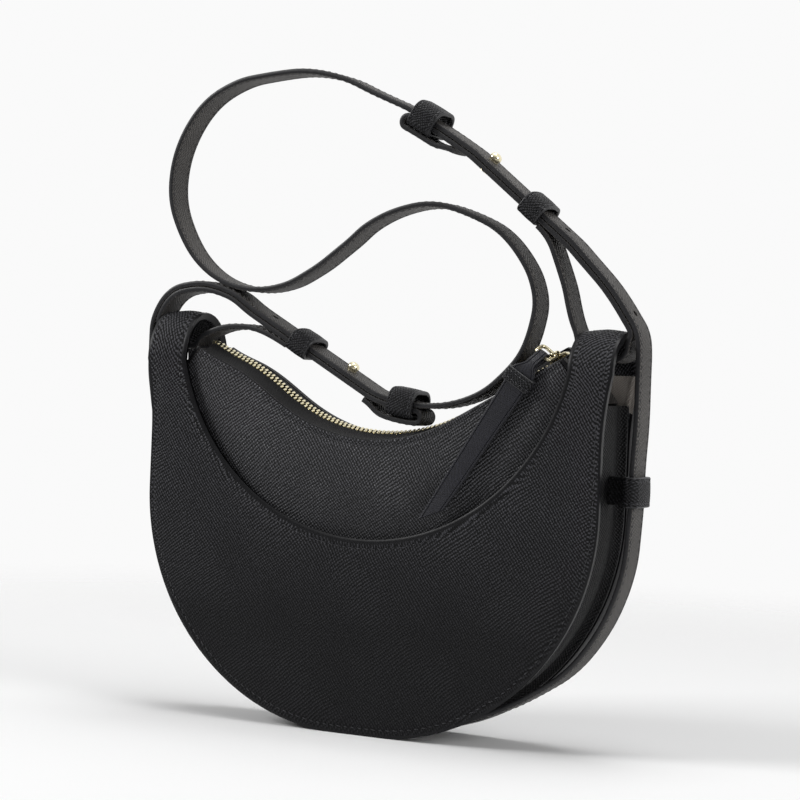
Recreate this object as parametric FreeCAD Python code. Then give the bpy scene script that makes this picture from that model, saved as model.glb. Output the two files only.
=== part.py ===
import FreeCAD, Part
import os
from math import asin, atan2, cos, degrees, hypot, radians, sin, tan

# Half moon leather bag with a belt-like shoulder strap laid over itself in an S.
# X runs along the width, -Y is the front, Z is up, all in millimetres.
# The origin is the middle of the flat on which the bag stands.

Vec = FreeCAD.Vector

# Body
half_width = 121.0          # straight sides of the panels
stand_half = 9.0            # half of the flat at the bottom
body_depth = 40.0           # front face to back face
panel_thick = 4.0
horn_z = 176.0              # where the horns start to arch over
horn_width = 21.0
horn_flare = 4.0            # the horns lean out by this much
flare_height = 36.0
scoop_low = 92.5            # lowest point of the scooped top edge
gusset_recess = 5.0         # gusset lies this far inside the panel edges
gusset_thick = 2.5
gusset_top = 162.0

# Pouch, lining and zip
pouch_thick = 2.0
pouch_end_thick = 2.0
zip_gap = 7.0               # from the zip end to the horn
zip_end_rise = 9.0          # zip ends above the start of the horns
zip_dip = 41.0              # zip ends above the middle of the zip
zip_bend_radius = 90.0
tape_rise = 4.0             # the tapes climb this much from the pouch to the teeth
tape_thick = 0.8
pouch_edge = 1.2            # pouch walls stand over the tape by this much
tooth_pitch = 2.4
tooth_length = 1.2          # along the zip
tooth_reach = 2.1           # across the zip
tooth_height = 1.6
tooth_slot = 1.0            # free slot between the two rows
stop_length = 1.5
lining_thick = 0.8
board_thick = 1.5
board_angle = 35.0          # how far the base board wraps up each side
pocket_half_width = 55.0
pocket_low = 45.0
pocket_high = 110.0

# Zip slider and pull
slider_length = 9.0
slider_width = 7.4
slider_plate = 1.4
slider_web = 0.4
slider_gap = 0.3            # clear of the teeth all round
slider_from_end = 6.2       # slider middle to the zip end
eye_radius = 3.0
eye_hole = 1.7
eye_thick = 1.4
bail_wire = 1.3
bail_width = 9.0
bail_length = 7.5
bail_below = 2.3            # the bail reaches this far below its eye
pull_angle = 36.0           # the pull hangs this far off plumb
pull_length = 95.5
pull_slant = 11.0           # slanted cut at the tip
pull_thick = 2.4
pull_width = 12.0
pull_tip_width = 8.0
pull_neck = 6.0
pull_gap = 0.4              # between the pull's wrap and the pouch
pull_lean = 3.3             # the tip stands out further by this much
wrap_at = 17.0
wrap_length = 7.0
wrap_wall = 1.5
wrap_gap = 0.2
sleeve_gap = 0.3

# Straps
strap_width = 15.0
strap_thick = 2.5
strap_gap = 0.3             # between layers
strap_stand_off = 7.5       # belt's middle outside the horns
pivot_rise = 7.0            # swing axis above the start of the horns
pivot_gap = 0.5
loop_clear = 0.5            # loop straps clear the arch edges
loop_turn = 6.0             # turn radius of the loop straps inside the arches
fall_rise = 8.5             # the belt stands off the loop strap from this far above its turn
fall_bow = 2.2
ring_length = 14.0
ring_wall = 2.0
ring_gap = 0.7
ring_head = 3.5             # room over the belt inside the end rings
keeper_length = 12.0
keeper_wall = 2.0
keeper_gap = 0.4
side_keeper_length = 14.0
side_tab_width = 12.0
hole_diameter = 4.2
hole_spacing = 51.0
stud_head = 6.0
stud_neck = 3.0
stud_flat = 0.5             # the ball head is flattened where it meets the belt
stud_screw = 1.8
screw_head = 7.0
screw_head_thick = 1.0
stud_left_from_end = 16.0   # stud to the ring end of the straight run
stud_right_from_end = 5.0
keeper_left_from_stud = 28.0
keeper_right_from_stud = 33.5

# Sizes that follow
lower_radius = half_width - stand_half
panel_back = body_depth / 2 - panel_thick
pouch_inside = panel_back - pouch_thick
pull_stand_off = panel_back + pull_gap + wrap_wall + wrap_gap + pull_thick / 2
horn_outer = half_width + horn_flare
horn_inner = horn_outer - horn_width
zip_half = horn_inner - zip_gap
zip_end_z = horn_z + zip_end_rise
zip_low = zip_end_z - zip_dip
pivot_z = horn_z + pivot_rise
side = horn_outer + strap_stand_off
loop_top = pivot_z + loop_turn
layer_step = strap_thick + strap_gap
tooth_edge = tooth_slot / 2 + tooth_reach
up = Vec(0, 0, 1)
down = Vec(0, 0, -1)


def at(x, z):
    return Vec(x, 0, z)


def left_of(direction):
    return Vec(-direction.z, 0, direction.x)


def unit(vector):
    return vector * (1.0 / vector.Length)


# A path is a list of arcs in the XZ plane. Each holds its start, middle and end point,
# and the left-hand normal at each of them.
def straight(start, end):
    normal = left_of(unit(end - start))
    return [(start, (start + end) * 0.5, end, normal, normal, normal)]


def arc(start, direction, end):
    chord = unit(end - start)
    normal = left_of(chord)
    angle = atan2(direction * normal, direction * chord)
    bow = (end - start).Length / 2 * tan(angle / 2)
    leaving = chord * (2 * (direction * chord)) - direction
    return [(start, (start + end) * 0.5 + normal * bow, end, left_of(direction), normal, left_of(leaving))]


def two_arcs(start, direction, end, leaving):
    step = end - start
    both = direction + leaving
    bend = 1 - direction * leaving
    if bend < 1e-9:
        reach = step * step / (4 * (step * leaving))
    else:
        reach = (-(step * both) + ((step * both) ** 2 + 2 * bend * (step * step)) ** 0.5) / (2 * bend)
    joint = (start + end + (direction - leaving) * reach) * 0.5
    first = arc(start, direction, joint)
    turned = first[0][5]
    return first + arc(joint, Vec(turned.z, 0, -turned.x), end)


def smooth(points, first, last):
    directions = [first]
    for before, here, after in zip(points[:-2], points[1:-1], points[2:]):
        step_in = here - before
        step_out = after - here
        directions.append(unit(unit(step_in) * step_out.Length + unit(step_out) * step_in.Length))
    directions.append(last)
    path = []
    for i in range(len(points) - 1):
        path += two_arcs(points[i], directions[i], points[i + 1], directions[i + 1])
    return path


def shifted(path, distance):
    return [(a + na * distance, m + nm * distance, b + nb * distance, na, nm, nb) for a, m, b, na, nm, nb in path]


def reverse(path):
    return [(b, m, a, nb * -1, nm * -1, na * -1) for a, m, b, na, nm, nb in reversed(path)]


def moved(path, offset):
    return [(a + offset, m + offset, b + offset, na, nm, nb) for a, m, b, na, nm, nb in path]


def edge(start, middle, end):
    if (middle - (start + end) * 0.5).Length < 1e-6:
        return Part.LineSegment(start, end).toShape()
    return Part.Arc(start, middle, end).toShape()


def edges_of(path):
    return [edge(part[0], part[1], part[2]) for part in path]


def closed_face(path):
    edges = []
    for i, part in enumerate(path):
        edges.append(edge(part[0], part[1], part[2]))
        following = path[(i + 1) % len(path)][0]
        if (following - part[2]).Length > 1e-6:
            edges.append(Part.LineSegment(part[2], following).toShape())
    return Part.Face(Part.Wire(edges))


def slab(face, y_from, y_to):
    moved_face = face.copy()
    moved_face.translate(Vec(0, y_from, 0))
    return moved_face.extrude(Vec(0, y_to - y_from, 0))


def ribbon(path, low, high, y_from, y_to):
    return slab(closed_face(shifted(path, high) + reverse(shifted(path, low))), y_from, y_to)


def strap(path):
    return ribbon(path, -strap_thick / 2, strap_thick / 2, -strap_width / 2, strap_width / 2)


def mirrored(shape):
    return shape.mirror(Vec(0, 0, 0), Vec(1, 0, 0))


def placed(shape, point, normal):
    result = shape.copy()
    result.rotate(Vec(0, 0, 0), Vec(0, 1, 0), degrees(atan2(normal.x, normal.z)))
    result.translate(point)
    return result


def block(x_size, y_size, z_low, z_high):
    return Part.makeBox(x_size, y_size, z_high - z_low, Vec(-x_size / 2, -y_size / 2, z_low))


def band(length, inner_width, z_low, z_high, wall):
    outer = block(length, inner_width + 2 * wall, z_low - wall, z_high + wall)
    return outer.cut(block(2 * length, inner_width, z_low, z_high))


def flipped(path):
    return [tuple(Vec(-v.x, 0, v.z) for v in (b, m, a, nb, nm, na)) for a, m, b, na, nm, nb in reversed(path)]


# Lower outline of the panels, inset by a distance: the right side down, the flat, the left side up.
def lower_outline(inset, top):
    radius = lower_radius - inset
    slope = radius * sin(radians(45))
    corner = at(stand_half + slope, lower_radius - slope)
    turn_start = at(half_width - inset, lower_radius)
    flat_end = at(stand_half, inset)
    half = straight(at(half_width - inset, top), turn_start)
    half += arc(turn_start, down, corner)
    half += arc(corner, unit(at(-1, -1)), flat_end)
    return half + straight(flat_end, at(-stand_half, inset)) + flipped(half)


# Panels
def panel_face():
    flare_low = horn_z - flare_height
    flare = reverse(arc(at(half_width, flare_low), up, at(horn_outer, horn_z)))
    scoop = arc(at(0, scoop_low), at(1, 0), at(horn_inner, horn_z))
    return closed_face(flare + lower_outline(0, flare_low) + flipped(flare) + flipped(scoop) + scoop)


def arch():
    middle = Vec(horn_inner, 0, horn_z)
    along = Vec(1, 0, 0)
    outer = Part.makeCylinder(body_depth / 2, horn_width, middle, along)
    inner = Part.makeCylinder(panel_back, horn_width, middle, along)
    above = Part.makeBox(horn_width, body_depth, body_depth, middle - Vec(0, body_depth / 2, 0))
    return outer.cut(inner).common(above)


plate = slab(panel_face(), -body_depth / 2, -panel_back)
right_arch = arch()
front_panel = plate.fuse([right_arch, mirrored(right_arch)]).removeSplitter()
back_panel = slab(panel_face(), panel_back, body_depth / 2)
gusset_path = lower_outline(gusset_recess, gusset_top)
gusset_band = ribbon(gusset_path, -gusset_thick, 0, -panel_back, panel_back)

# Zip path: two straight arms joined by a round dip
arm_phase = atan2(zip_bend_radius - zip_dip, zip_half)
arm_slope = asin(zip_bend_radius / hypot(zip_half, zip_bend_radius - zip_dip)) - arm_phase
arm_direction = at(cos(arm_slope), sin(arm_slope))
arm_normal = left_of(arm_direction)
bend_end = at(zip_bend_radius * sin(arm_slope), zip_low + zip_bend_radius * (1 - cos(arm_slope)))
bend_start = at(-bend_end.x, bend_end.z)
zip_right = at(zip_half, zip_end_z)
zip_path = straight(at(-zip_half, zip_end_z), bend_start)
zip_path += arc(bend_start, at(cos(arm_slope), -sin(arm_slope)), bend_end)
zip_path += straight(bend_end, zip_right)


# Pouch walls and lining share one outline: round below, sloping ends, the lowered zip path above.
def pouch_face(inset, drop):
    below = lower_outline(gusset_recess + gusset_thick + inset, gusset_top - inset)
    return closed_face(below + moved(zip_path, at(0, -drop)))


pouch_drop = tape_rise - pouch_edge
lining_drop = tape_rise + tape_thick + strap_gap
lining_face_y = pouch_inside - lining_thick
pouch_front = slab(pouch_face(0, pouch_drop), -panel_back, -pouch_inside)
pouch_back = slab(pouch_face(0, pouch_drop), pouch_inside, panel_back)
end_foot = at(half_width - gusset_recess - gusset_thick, gusset_top)
end_slope = straight(at(zip_half + tape_thick / 2, zip_end_z - pouch_drop), end_foot)
pouch_end_half = panel_back - strap_gap
pouch_end_right = ribbon(end_slope, 0, pouch_end_thick, -pouch_end_half, pouch_end_half)
lining_front = slab(pouch_face(lining_thick, lining_drop), -pouch_inside, -lining_face_y)
lining_back = slab(pouch_face(lining_thick, lining_drop), lining_face_y, pouch_inside)

board_inset = gusset_recess + gusset_thick
lining_path = lower_outline(board_inset + board_thick, gusset_top - 2 * pouch_end_thick)
lining_band = ribbon(lining_path, -lining_thick, 0, -lining_face_y, lining_face_y)


def base_board():
    radius = lower_radius - board_inset
    angle = radians(board_angle)
    tip = at(stand_half + radius * sin(angle), lower_radius - radius * cos(angle))
    flat_end = at(stand_half, board_inset)
    half = arc(tip, at(-cos(angle), -sin(angle)), flat_end)
    path = half + straight(flat_end, at(-stand_half, board_inset)) + flipped(half)
    return ribbon(path, -board_thick, 0, -lining_face_y, lining_face_y)


pocket_face_y = lining_face_y - lining_thick
pocket_size = (2 * pocket_half_width, lining_thick, pocket_high - pocket_low)
inner_pocket = Part.makeBox(*pocket_size, Vec(-pocket_half_width, pocket_face_y, pocket_low))


# Zip tapes climb from the pouch walls to the teeth.
def zip_tape(back):
    face = closed_face(shifted(zip_path, tape_thick / 2) + reverse(shifted(zip_path, -tape_thick / 2)))
    face.translate(Vec(0, back * tooth_edge, 0))
    return face.extrude(Vec(0, back * (pouch_inside - tooth_edge), -tape_rise))


def zip_teeth(back, start):
    tooth = block(tooth_length, tooth_reach, -tooth_height / 2, tooth_height / 2)
    tooth.translate(Vec(0, back * (tooth_slot + tooth_reach) / 2, 0))
    teeth = []
    for side_edge in edges_of(zip_path):
        count = int((side_edge.Length - stop_length) / tooth_pitch)
        margin = (side_edge.Length - count * tooth_pitch) / 2
        for i in range(count):
            here = side_edge.getParameterByLength(margin + (i + start) * tooth_pitch)
            tangent = side_edge.tangentAt(here)
            teeth.append(placed(tooth, side_edge.valueAt(here), left_of(tangent)))
    return Part.makeCompound(teeth)


def zip_stops():
    stop = block(stop_length, 2 * tooth_edge, -tooth_height / 2, tooth_height / 2)
    right_stop = placed(stop, zip_right + arm_direction * (stop_length / 2), arm_normal)
    return Part.makeCompound([right_stop, mirrored(right_stop)])


# Zip slider: two plates joined by a thin web in the slot between the rows, with an eye in front.
pull_tilt = radians(pull_angle)
pull_down = at(-sin(pull_tilt), -cos(pull_tilt))
pull_across = at(cos(pull_tilt), -sin(pull_tilt))
slider_at = zip_right - arm_direction * slider_from_end
plate_low = tooth_height / 2 + slider_gap
plate_high = plate_low + slider_plate
eye_level = plate_high + eye_thick / 2
eye_reach = slider_width / 2 + eye_hole
eye_at = slider_at + arm_normal * eye_level - Vec(0, eye_reach, 0)


def zip_slider():
    top = block(slider_length, slider_width, plate_low, plate_high)
    bottom = block(slider_length, 2 * tooth_edge, -plate_high, -plate_low)
    web = block(slider_length / 2, slider_web, -plate_low, plate_low)
    tongue = Part.makeBox(2 * eye_radius, eye_reach, eye_thick, Vec(-eye_radius, -eye_reach, plate_high))
    eye = Part.makeCylinder(eye_radius, eye_thick, Vec(0, -eye_reach, plate_high))
    bore = Part.makeCylinder(eye_hole, 3 * eye_thick, Vec(0, -eye_reach, plate_high - eye_thick))
    body = top.fuse([bottom, web, tongue, eye]).cut(bore)
    return placed(body.removeSplitter(), slider_at, arm_normal)


# The pull hangs in its own frame: X down along the pull, Y across it, Z out to the front.
bail_reach = bail_length - bail_wire
bail_down = unit(pull_down + Vec(0, -2, 0))
bail_at = eye_at - pull_across * (bail_width / 2 - bail_below)
pull_at = bail_at + bail_down * bail_reach


def hung(shape, x_axis, origin):
    z_axis = x_axis.cross(pull_across)
    turn = FreeCAD.Matrix(x_axis.x, pull_across.x, z_axis.x, origin.x, x_axis.y, pull_across.y, z_axis.y, origin.y,
                          x_axis.z, pull_across.z, z_axis.z, origin.z, 0, 0, 0, 1)
    result = shape.copy()
    result.Placement = FreeCAD.Placement(turn).multiply(result.Placement)
    return result


def zip_bail():
    outer = block(bail_length, bail_width, -bail_wire / 2, bail_wire / 2)
    inner = block(bail_length - 2 * bail_wire, bail_width - 2 * bail_wire, -bail_wire, bail_wire)
    frame = outer.cut(inner)
    frame.translate(Vec(bail_reach / 2, 0, 0))
    return hung(frame, bail_down, bail_at)


sleeve_inner = bail_wire * 0.71 + sleeve_gap
sleeve_outer = sleeve_inner + pull_thick / 2
first_out = -pull_at.y
wrap_foot = wrap_at - wrap_length
stand_out = pull_stand_off - first_out
pull_path = smooth([at(sleeve_outer * 0.7, sleeve_outer * 0.4), at(wrap_foot * 0.45, stand_out * 0.75),
                    at(wrap_foot, stand_out)], unit(at(1, 1)), unit(at(pull_length, pull_lean)))
pull_path += straight(at(wrap_foot, stand_out), at(wrap_foot + pull_length, stand_out + pull_lean))


def zip_pull_leather():
    body = ribbon(pull_path, -pull_thick / 2, pull_thick / 2, -pull_width, pull_width)
    neck = pull_neck / 2
    corners = [Vec(0, neck, 0), Vec(wrap_foot / 2, neck, 0), Vec(wrap_foot, pull_width / 2, 0),
               Vec(pull_length - pull_slant, pull_tip_width / 2, 0), Vec(pull_length, -pull_tip_width / 2, 0),
               Vec(wrap_foot, -pull_width / 2, 0), Vec(wrap_foot / 2, -neck, 0), Vec(0, -neck, 0)]
    outline = Part.Face(Part.makePolygon(corners + corners[:1]))
    height = 2 * pull_stand_off
    outline.translate(Vec(0, 0, -height / 2))
    body = body.common(outline.extrude(Vec(0, 0, height)))
    across = Vec(0, 1, 0)
    sleeve = Part.makeCylinder(sleeve_outer, pull_neck, Vec(0, -neck, 0), across)
    bore = Part.makeCylinder(sleeve_inner, 2 * pull_neck, Vec(0, -pull_neck, 0), across)
    return hung(body.fuse(sleeve).cut(bore).removeSplitter(), pull_down, pull_at)


def zip_pull_wrap():
    inner = pull_thick / 2 + wrap_gap
    wrap = band(wrap_length, pull_width + 2 * wrap_gap, -inner, inner, wrap_wall)
    lean = pull_lean / pull_length
    wrap = placed(wrap, at(wrap_at, stand_out + (wrap_at - wrap_foot) * lean), unit(at(-lean, 1)))
    return hung(wrap, pull_down, pull_at)


# Route of the belt's middle line, seen from the front. Points are measured from the left or right swing pivot
# in parts of the half span, or by their height above the zip for the stretch that lies on it.
def left(x, z):
    return at(-side + x * side, pivot_z + z * side)


def right(x, z):
    return at(side - x * side, pivot_z + z * side)


def over_zip(x, gap):
    reach = abs(x * side)
    if reach < bend_end.x:
        height = zip_bend_radius - (zip_bend_radius ** 2 - reach ** 2) ** 0.5
    else:
        height = bend_end.z - zip_low + (reach - bend_end.x) * tan(arm_slope)
    return at(x * side, zip_low + height + gap)


left_rise = [left(0, 0), left(0.011, 0.113), left(0.079, 0.206), left(0.192, 0.238), left(0.336, 0.214),
             left(0.472, 0.134)]
ring_end = over_zip(-0.045, 20.6)
loops = [ring_end, over_zip(0.038, 16.6), over_zip(0.151, 12), over_zip(0.242, 8.7),
         over_zip(0.332, 5.7), over_zip(0.415, 4.5), right(0.509, -0.066), right(0.449, 0.004),
         right(0.408, 0.106), right(0.396, 0.196), right(0.415, 0.275), right(0.464, 0.358),
         right(0.547, 0.442), right(0.660, 0.500), right(0.819, 0.538), left(1.045, 0.517),
         left(0.932, 0.468), left(0.826, 0.386), left(0.698, 0.296), left(0.577, 0.238),
         left(0.487, 0.221), left(0.381, 0.228), left(0.291, 0.257), left(0.192, 0.328),
         left(0.117, 0.430), left(0.069, 0.558), left(0.072, 0.687), left(0.117, 0.811),
         left(0.208, 0.925), left(0.336, 0.995), left(0.487, 1.023), left(0.653, 1.030),
         left(0.789, 1.004), left(0.940, 0.940), right(0.909, 0.875), right(0.804, 0.817),
         right(0.713, 0.762), right(0.638, 0.711)]
right_fall = [right(0.283, 0.421), right(0.200, 0.340), right(0.117, 0.253), right(0.047, 0.158),
              at(side - fall_bow, loop_top + fall_rise), right(0, 0)]

left_run = unit(ring_end - left_rise[-1])
right_run = unit(right_fall[0] - loops[-1])
rise_path = smooth(left_rise, up, left_run)
left_straight = straight(left_rise[-1], ring_end)
loops_path = smooth(loops, left_run, right_run)
right_straight = straight(loops[-1], right_fall[0])
fall_path = smooth(right_fall, right_run, down)
belt_path = rise_path + left_straight + loops_path + right_straight + fall_path

# Places along the belt: point and outward normal
stud_left = (ring_end - left_run * stud_left_from_end, left_of(left_run))
stud_right = (loops[-1] + right_run * stud_right_from_end, left_of(right_run))
keeper_left = (stud_left[0] - left_run * keeper_left_from_stud, stud_left[1])
keeper_right = (stud_right[0] + right_run * keeper_right_from_stud, stud_right[1])
ring_left = (loops_path[2][2], loops_path[2][5])
ring_right = (loops_path[-6][2], loops_path[-6][5])
spare_holes = [(stud_left[0] - left_run * hole_spacing, stud_left[1]), (rise_path[5][2], rise_path[5][5]),
               (stud_right[0] + right_run * hole_spacing, stud_right[1]), (fall_path[5][2], fall_path[5][5])]


def hole(place, diameter):
    depth = 4 * strap_thick
    return placed(Part.makeCylinder(diameter / 2, depth, Vec(0, 0, -depth / 2)), *place)


def shoulder_strap():
    belt = strap(belt_path)
    ends = []
    for x in (-side, side):
        start = Vec(x - strap_thick / 2, 0, pivot_z)
        ends.append(Part.makeCylinder(strap_width / 2, strap_thick, start, Vec(1, 0, 0)))
    holes = [hole(place, hole_diameter) for place in spare_holes + [stud_left, stud_right]]
    return belt.fuse(ends).cut(Part.makeCompound(holes)).removeSplitter()


# Tails: from under the belly, up the side, to just below the swing pivot. Each turn is an angle below level and a
# gap outside the panel's edge. Each bow is a distance inside the pivot and a share of the way up the side.
tail_top = pivot_z - strap_width / 2 - pivot_gap
tail_rise = tail_top - lower_radius
right_turns = [(80, -2.0), (66, -1.8), (57, 0.3), (48, 3.0), (39, 6.8), (27, 9.3), (14, 10.4), (0, 10.2)]
right_bows = [(0.9, 0.35), (0.0, 0.67)]
left_turns = [(80, -2.0), (66, -1.8), (57, -1.0), (48, 0.2), (39, 1.4), (27, 2.6), (14, 3.3), (0, 3.4)]
left_bows = [(6.6, 0.35), (2.6, 0.67)]
side_keeper_at = len(right_turns) * 2 - 2


def tail_point(angle, gap):
    reach = lower_radius + gap
    return at(stand_half + reach * cos(radians(angle)), lower_radius - reach * sin(radians(angle)))


def tail_route(turns, bows):
    points = [tail_point(angle, gap) for angle, gap in turns]
    points += [at(side - bow, lower_radius + tail_rise * share) for bow, share in bows]
    start = radians(turns[0][0])
    return smooth(points + [at(side, tail_top)], at(sin(start), cos(start)), up)


def side_keeper(tail_path):
    inner = strap_thick / 2 + keeper_gap
    point, normal = tail_path[side_keeper_at][2], tail_path[side_keeper_at][5] * -1
    ring = placed(band(side_keeper_length, strap_width + 2 * keeper_gap, -inner, inner, keeper_wall), point, normal)
    gusset_x = half_width - gusset_recess
    tab_length = point.x - inner - gusset_x
    tab_low = Vec(gusset_x, -side_tab_width / 2, point.z - side_keeper_length / 2)
    tab = Part.makeBox(tab_length, side_tab_width, side_keeper_length, tab_low)
    clear = placed(block(2 * side_keeper_length, strap_width, -inner, inner), point, normal)
    return ring.fuse(tab.cut(clear)).removeSplitter()


# Loop straps: under the belt from the end ring to the horn, round through the arch, back up to the belt,
# and at the ring folded round its lower wall.
ring_low = -(layer_step + strap_thick / 2 + ring_gap)
fold_step = -ring_low + ring_wall + 2 * strap_gap + strap_thick / 2
sewn_step = 2 * layer_step
loop_out = horn_outer + loop_clear + strap_thick / 2
loop_in = horn_inner - loop_clear - strap_thick / 2
loop_inner_turn = at(loop_in + loop_turn, pivot_z)
sewn_from_keeper = keeper_length / 2 + 1


def direction_out(part):
    return Vec(part[5].z, 0, -part[5].x)


# The folded end runs below the ring and comes up again to lie against the strap.
def folded_end(below_ring, end, heading):
    return below_ring + two_arcs(below_ring[-1][2], direction_out(below_ring[-1]), end, heading)


# Right-hand way through the arch: down outside the horn, along under the arch, to the inner turn.
def through_arch(start, heading):
    bottom_out = at(loop_out - loop_turn, pivot_z)
    path = two_arcs(start, heading, at(loop_out, loop_top), down)
    path += arc(at(loop_out, loop_top), down, bottom_out)
    return path + straight(bottom_out, loop_inner_turn)


def loop_strap_right():
    under = shifted(loops_path[-6:] + right_straight + fall_path[:-2], -layer_step)
    below_ring = shifted(loops_path[-6:-4], -fold_step)
    end = loops_path[-3]
    back = reverse(folded_end(below_ring, end[2] - end[5] * sewn_step, direction_out(end)))
    fold = arc(back[-1][2], direction_out(back[-1]), under[0][0])
    through = through_arch(under[-1][2], direction_out(under[-1]))
    sewn_at = keeper_right[0] + right_run * sewn_from_keeper - keeper_right[1] * sewn_step
    leg = arc(loop_inner_turn, at(-1, 0), at(loop_in, loop_top))
    leg += smooth([at(loop_in, loop_top), right(0.262, 0.158), right(0.294, 0.272), sewn_at], up, right_run * -1)
    return strap(back + fold + under + through + leg).cut(hole(stud_right, hole_diameter))


def loop_strap_left():
    under = shifted(rise_path[2:] + left_straight + loops_path[:4], -layer_step)
    below_ring = reverse(shifted(loops_path[2:4], -fold_step))
    back = folded_end(below_ring, ring_end - left_of(left_run) * sewn_step, left_run * -1)
    fold = arc(under[-1][2], direction_out(under[-1]), back[0][0])
    start, start_normal = under[0][0], under[0][3]
    through = through_arch(at(-start.x, start.z), at(start_normal.z, start_normal.x))
    sewn_at = keeper_left[0] - left_run * sewn_from_keeper - keeper_left[1] * sewn_step
    leg_points = [loop_inner_turn, right(0.234, 0.041), right(0.298, 0.069), right(0.404, 0.080),
                  at(-sewn_at.x, sewn_at.z)]
    leg = smooth(leg_points, at(-1, 0), at(-left_run.x, left_run.z))
    return strap(flipped(through + leg) + under + fold + back).cut(hole(stud_left, hole_diameter))


def end_ring(place):
    ring_high = strap_thick / 2 + ring_head
    return placed(band(ring_length, strap_width + 2 * ring_gap, ring_low, ring_high, ring_wall), *place)


def sliding_keeper(place):
    keeper_low = -(layer_step + strap_thick / 2 + keeper_gap)
    keeper_high = strap_thick / 2 + keeper_gap
    return placed(band(keeper_length, strap_width + 2 * keeper_gap, keeper_low, keeper_high, keeper_wall), *place)


# Studs: ball head over the belt, neck through both layers, and a flat screw from below
neck_low = -(layer_step + strap_thick / 2)
neck_high = strap_thick / 2
screw_reach = neck_high - neck_low - screw_head_thick


def stud(place):
    neck = Part.makeCylinder(stud_neck / 2, neck_high - neck_low + stud_head / 2, Vec(0, 0, neck_low))
    head = Part.makeSphere(stud_head / 2, Vec(0, 0, neck_high + stud_head / 2 - stud_flat))
    bore = Part.makeCylinder(stud_screw / 2, screw_reach, Vec(0, 0, neck_low))
    below = block(2 * stud_head, 2 * stud_head, neck_low, neck_high)
    collar = head.cut(below)
    return placed(neck.fuse(collar).cut(bore).removeSplitter(), *place)


def stud_screw_below(place):
    shank = Part.makeCylinder(stud_screw / 2, screw_reach, Vec(0, 0, neck_low))
    head = Part.makeCylinder(screw_head / 2, screw_head_thick, Vec(0, 0, neck_low - screw_head_thick))
    return placed(shank.fuse(head).removeSplitter(), *place)


right_tail = tail_route(right_turns, right_bows)
left_tail = tail_route(left_turns, left_bows)
nodes = {
    "front_panel": front_panel,
    "back_panel": back_panel,
    "gusset_band": gusset_band,
    "pouch_front": pouch_front,
    "pouch_back": pouch_back,
    "pouch_end_left": mirrored(pouch_end_right),
    "pouch_end_right": pouch_end_right,
    "lining_front": lining_front,
    "lining_back": lining_back,
    "lining_band": lining_band,
    "base_board": base_board(),
    "inner_pocket": inner_pocket,
    "zip_tape_front": zip_tape(-1),
    "zip_tape_back": zip_tape(1),
    "zip_teeth_front": zip_teeth(-1, 0),
    "zip_teeth_back": zip_teeth(1, 0.5),
    "zip_stops": zip_stops(),
    "zip_slider": zip_slider(),
    "zip_bail": zip_bail(),
    "zip_pull_leather": zip_pull_leather(),
    "zip_pull_wrap": zip_pull_wrap(),
    "shoulder_strap": shoulder_strap(),
    "strap_tail_left": mirrored(strap(left_tail)),
    "strap_tail_right": strap(right_tail),
    "side_keeper_left": mirrored(side_keeper(left_tail)),
    "side_keeper_right": side_keeper(right_tail),
    "loop_strap_left": loop_strap_left(),
    "loop_strap_right": loop_strap_right(),
    "end_ring_left": end_ring(ring_left),
    "end_ring_right": end_ring(ring_right),
    "sliding_keeper_left": sliding_keeper(keeper_left),
    "sliding_keeper_right": sliding_keeper(keeper_right),
    "stud_left": stud(stud_left),
    "stud_right": stud(stud_right),
    "stud_screws": Part.makeCompound([stud_screw_below(stud_left), stud_screw_below(stud_right)]),
}

os.makedirs("parts", exist_ok=True)
for name, shape in nodes.items():
    shape.exportStep(f"parts/{name}.step")
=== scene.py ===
import bpy
from math import atan2, ceil, cos, exp, inf, pi, radians, sin
from mathutils import Matrix, Vector, noise


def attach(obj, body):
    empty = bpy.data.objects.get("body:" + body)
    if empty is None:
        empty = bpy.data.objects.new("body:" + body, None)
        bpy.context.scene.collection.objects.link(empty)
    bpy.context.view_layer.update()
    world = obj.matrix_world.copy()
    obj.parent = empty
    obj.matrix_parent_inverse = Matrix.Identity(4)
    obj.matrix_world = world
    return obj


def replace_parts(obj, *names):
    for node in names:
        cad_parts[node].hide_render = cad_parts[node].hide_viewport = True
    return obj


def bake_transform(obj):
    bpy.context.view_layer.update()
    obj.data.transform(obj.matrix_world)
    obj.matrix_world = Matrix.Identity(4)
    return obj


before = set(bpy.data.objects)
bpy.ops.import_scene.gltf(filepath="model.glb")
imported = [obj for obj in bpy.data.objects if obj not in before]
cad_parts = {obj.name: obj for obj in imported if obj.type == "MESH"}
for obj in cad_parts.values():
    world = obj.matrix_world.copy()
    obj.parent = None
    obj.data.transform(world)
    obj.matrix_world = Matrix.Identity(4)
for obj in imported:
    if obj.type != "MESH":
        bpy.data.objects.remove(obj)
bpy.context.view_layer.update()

# Half moon leather bag with its belt laid over it. Sizes below are in millimetres, the scene is in metres.
mm = 0.001
leftRight, frontBack = ((-1, "Left"), (1, "Right")), ((-1, "Front"), (1, "Back"))  # sign, and word for names
bpy.ops.object.select_all(action="DESELECT")
print("frame loaded,", len(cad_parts), "nodes")

# Camera at the photograph's angle, a little rolled
cameraLook = {"place": (0.4979, -0.9418, 0.1723), "ahead": (-0.46244, 0.88872, -0.01127),
              "up": (-0.06741, 0.04621, 0.99666), "lens": 99, "sensor": 36}
bpy.ops.object.camera_add()
camera = bpy.context.object
camera.data.lens = cameraLook["lens"]
camera.data.sensor_width = cameraLook["sensor"]
cameraBack = -Vector(cameraLook["ahead"]).normalized()
cameraRight = Vector(cameraLook["up"]).cross(cameraBack).normalized()
cameraTurn = Matrix((cameraRight, cameraBack.cross(cameraRight), cameraBack)).transposed()
camera.matrix_world = Matrix.Translation(cameraLook["place"]) @ cameraTurn.to_4x4()
bpy.context.scene.camera = camera


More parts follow.
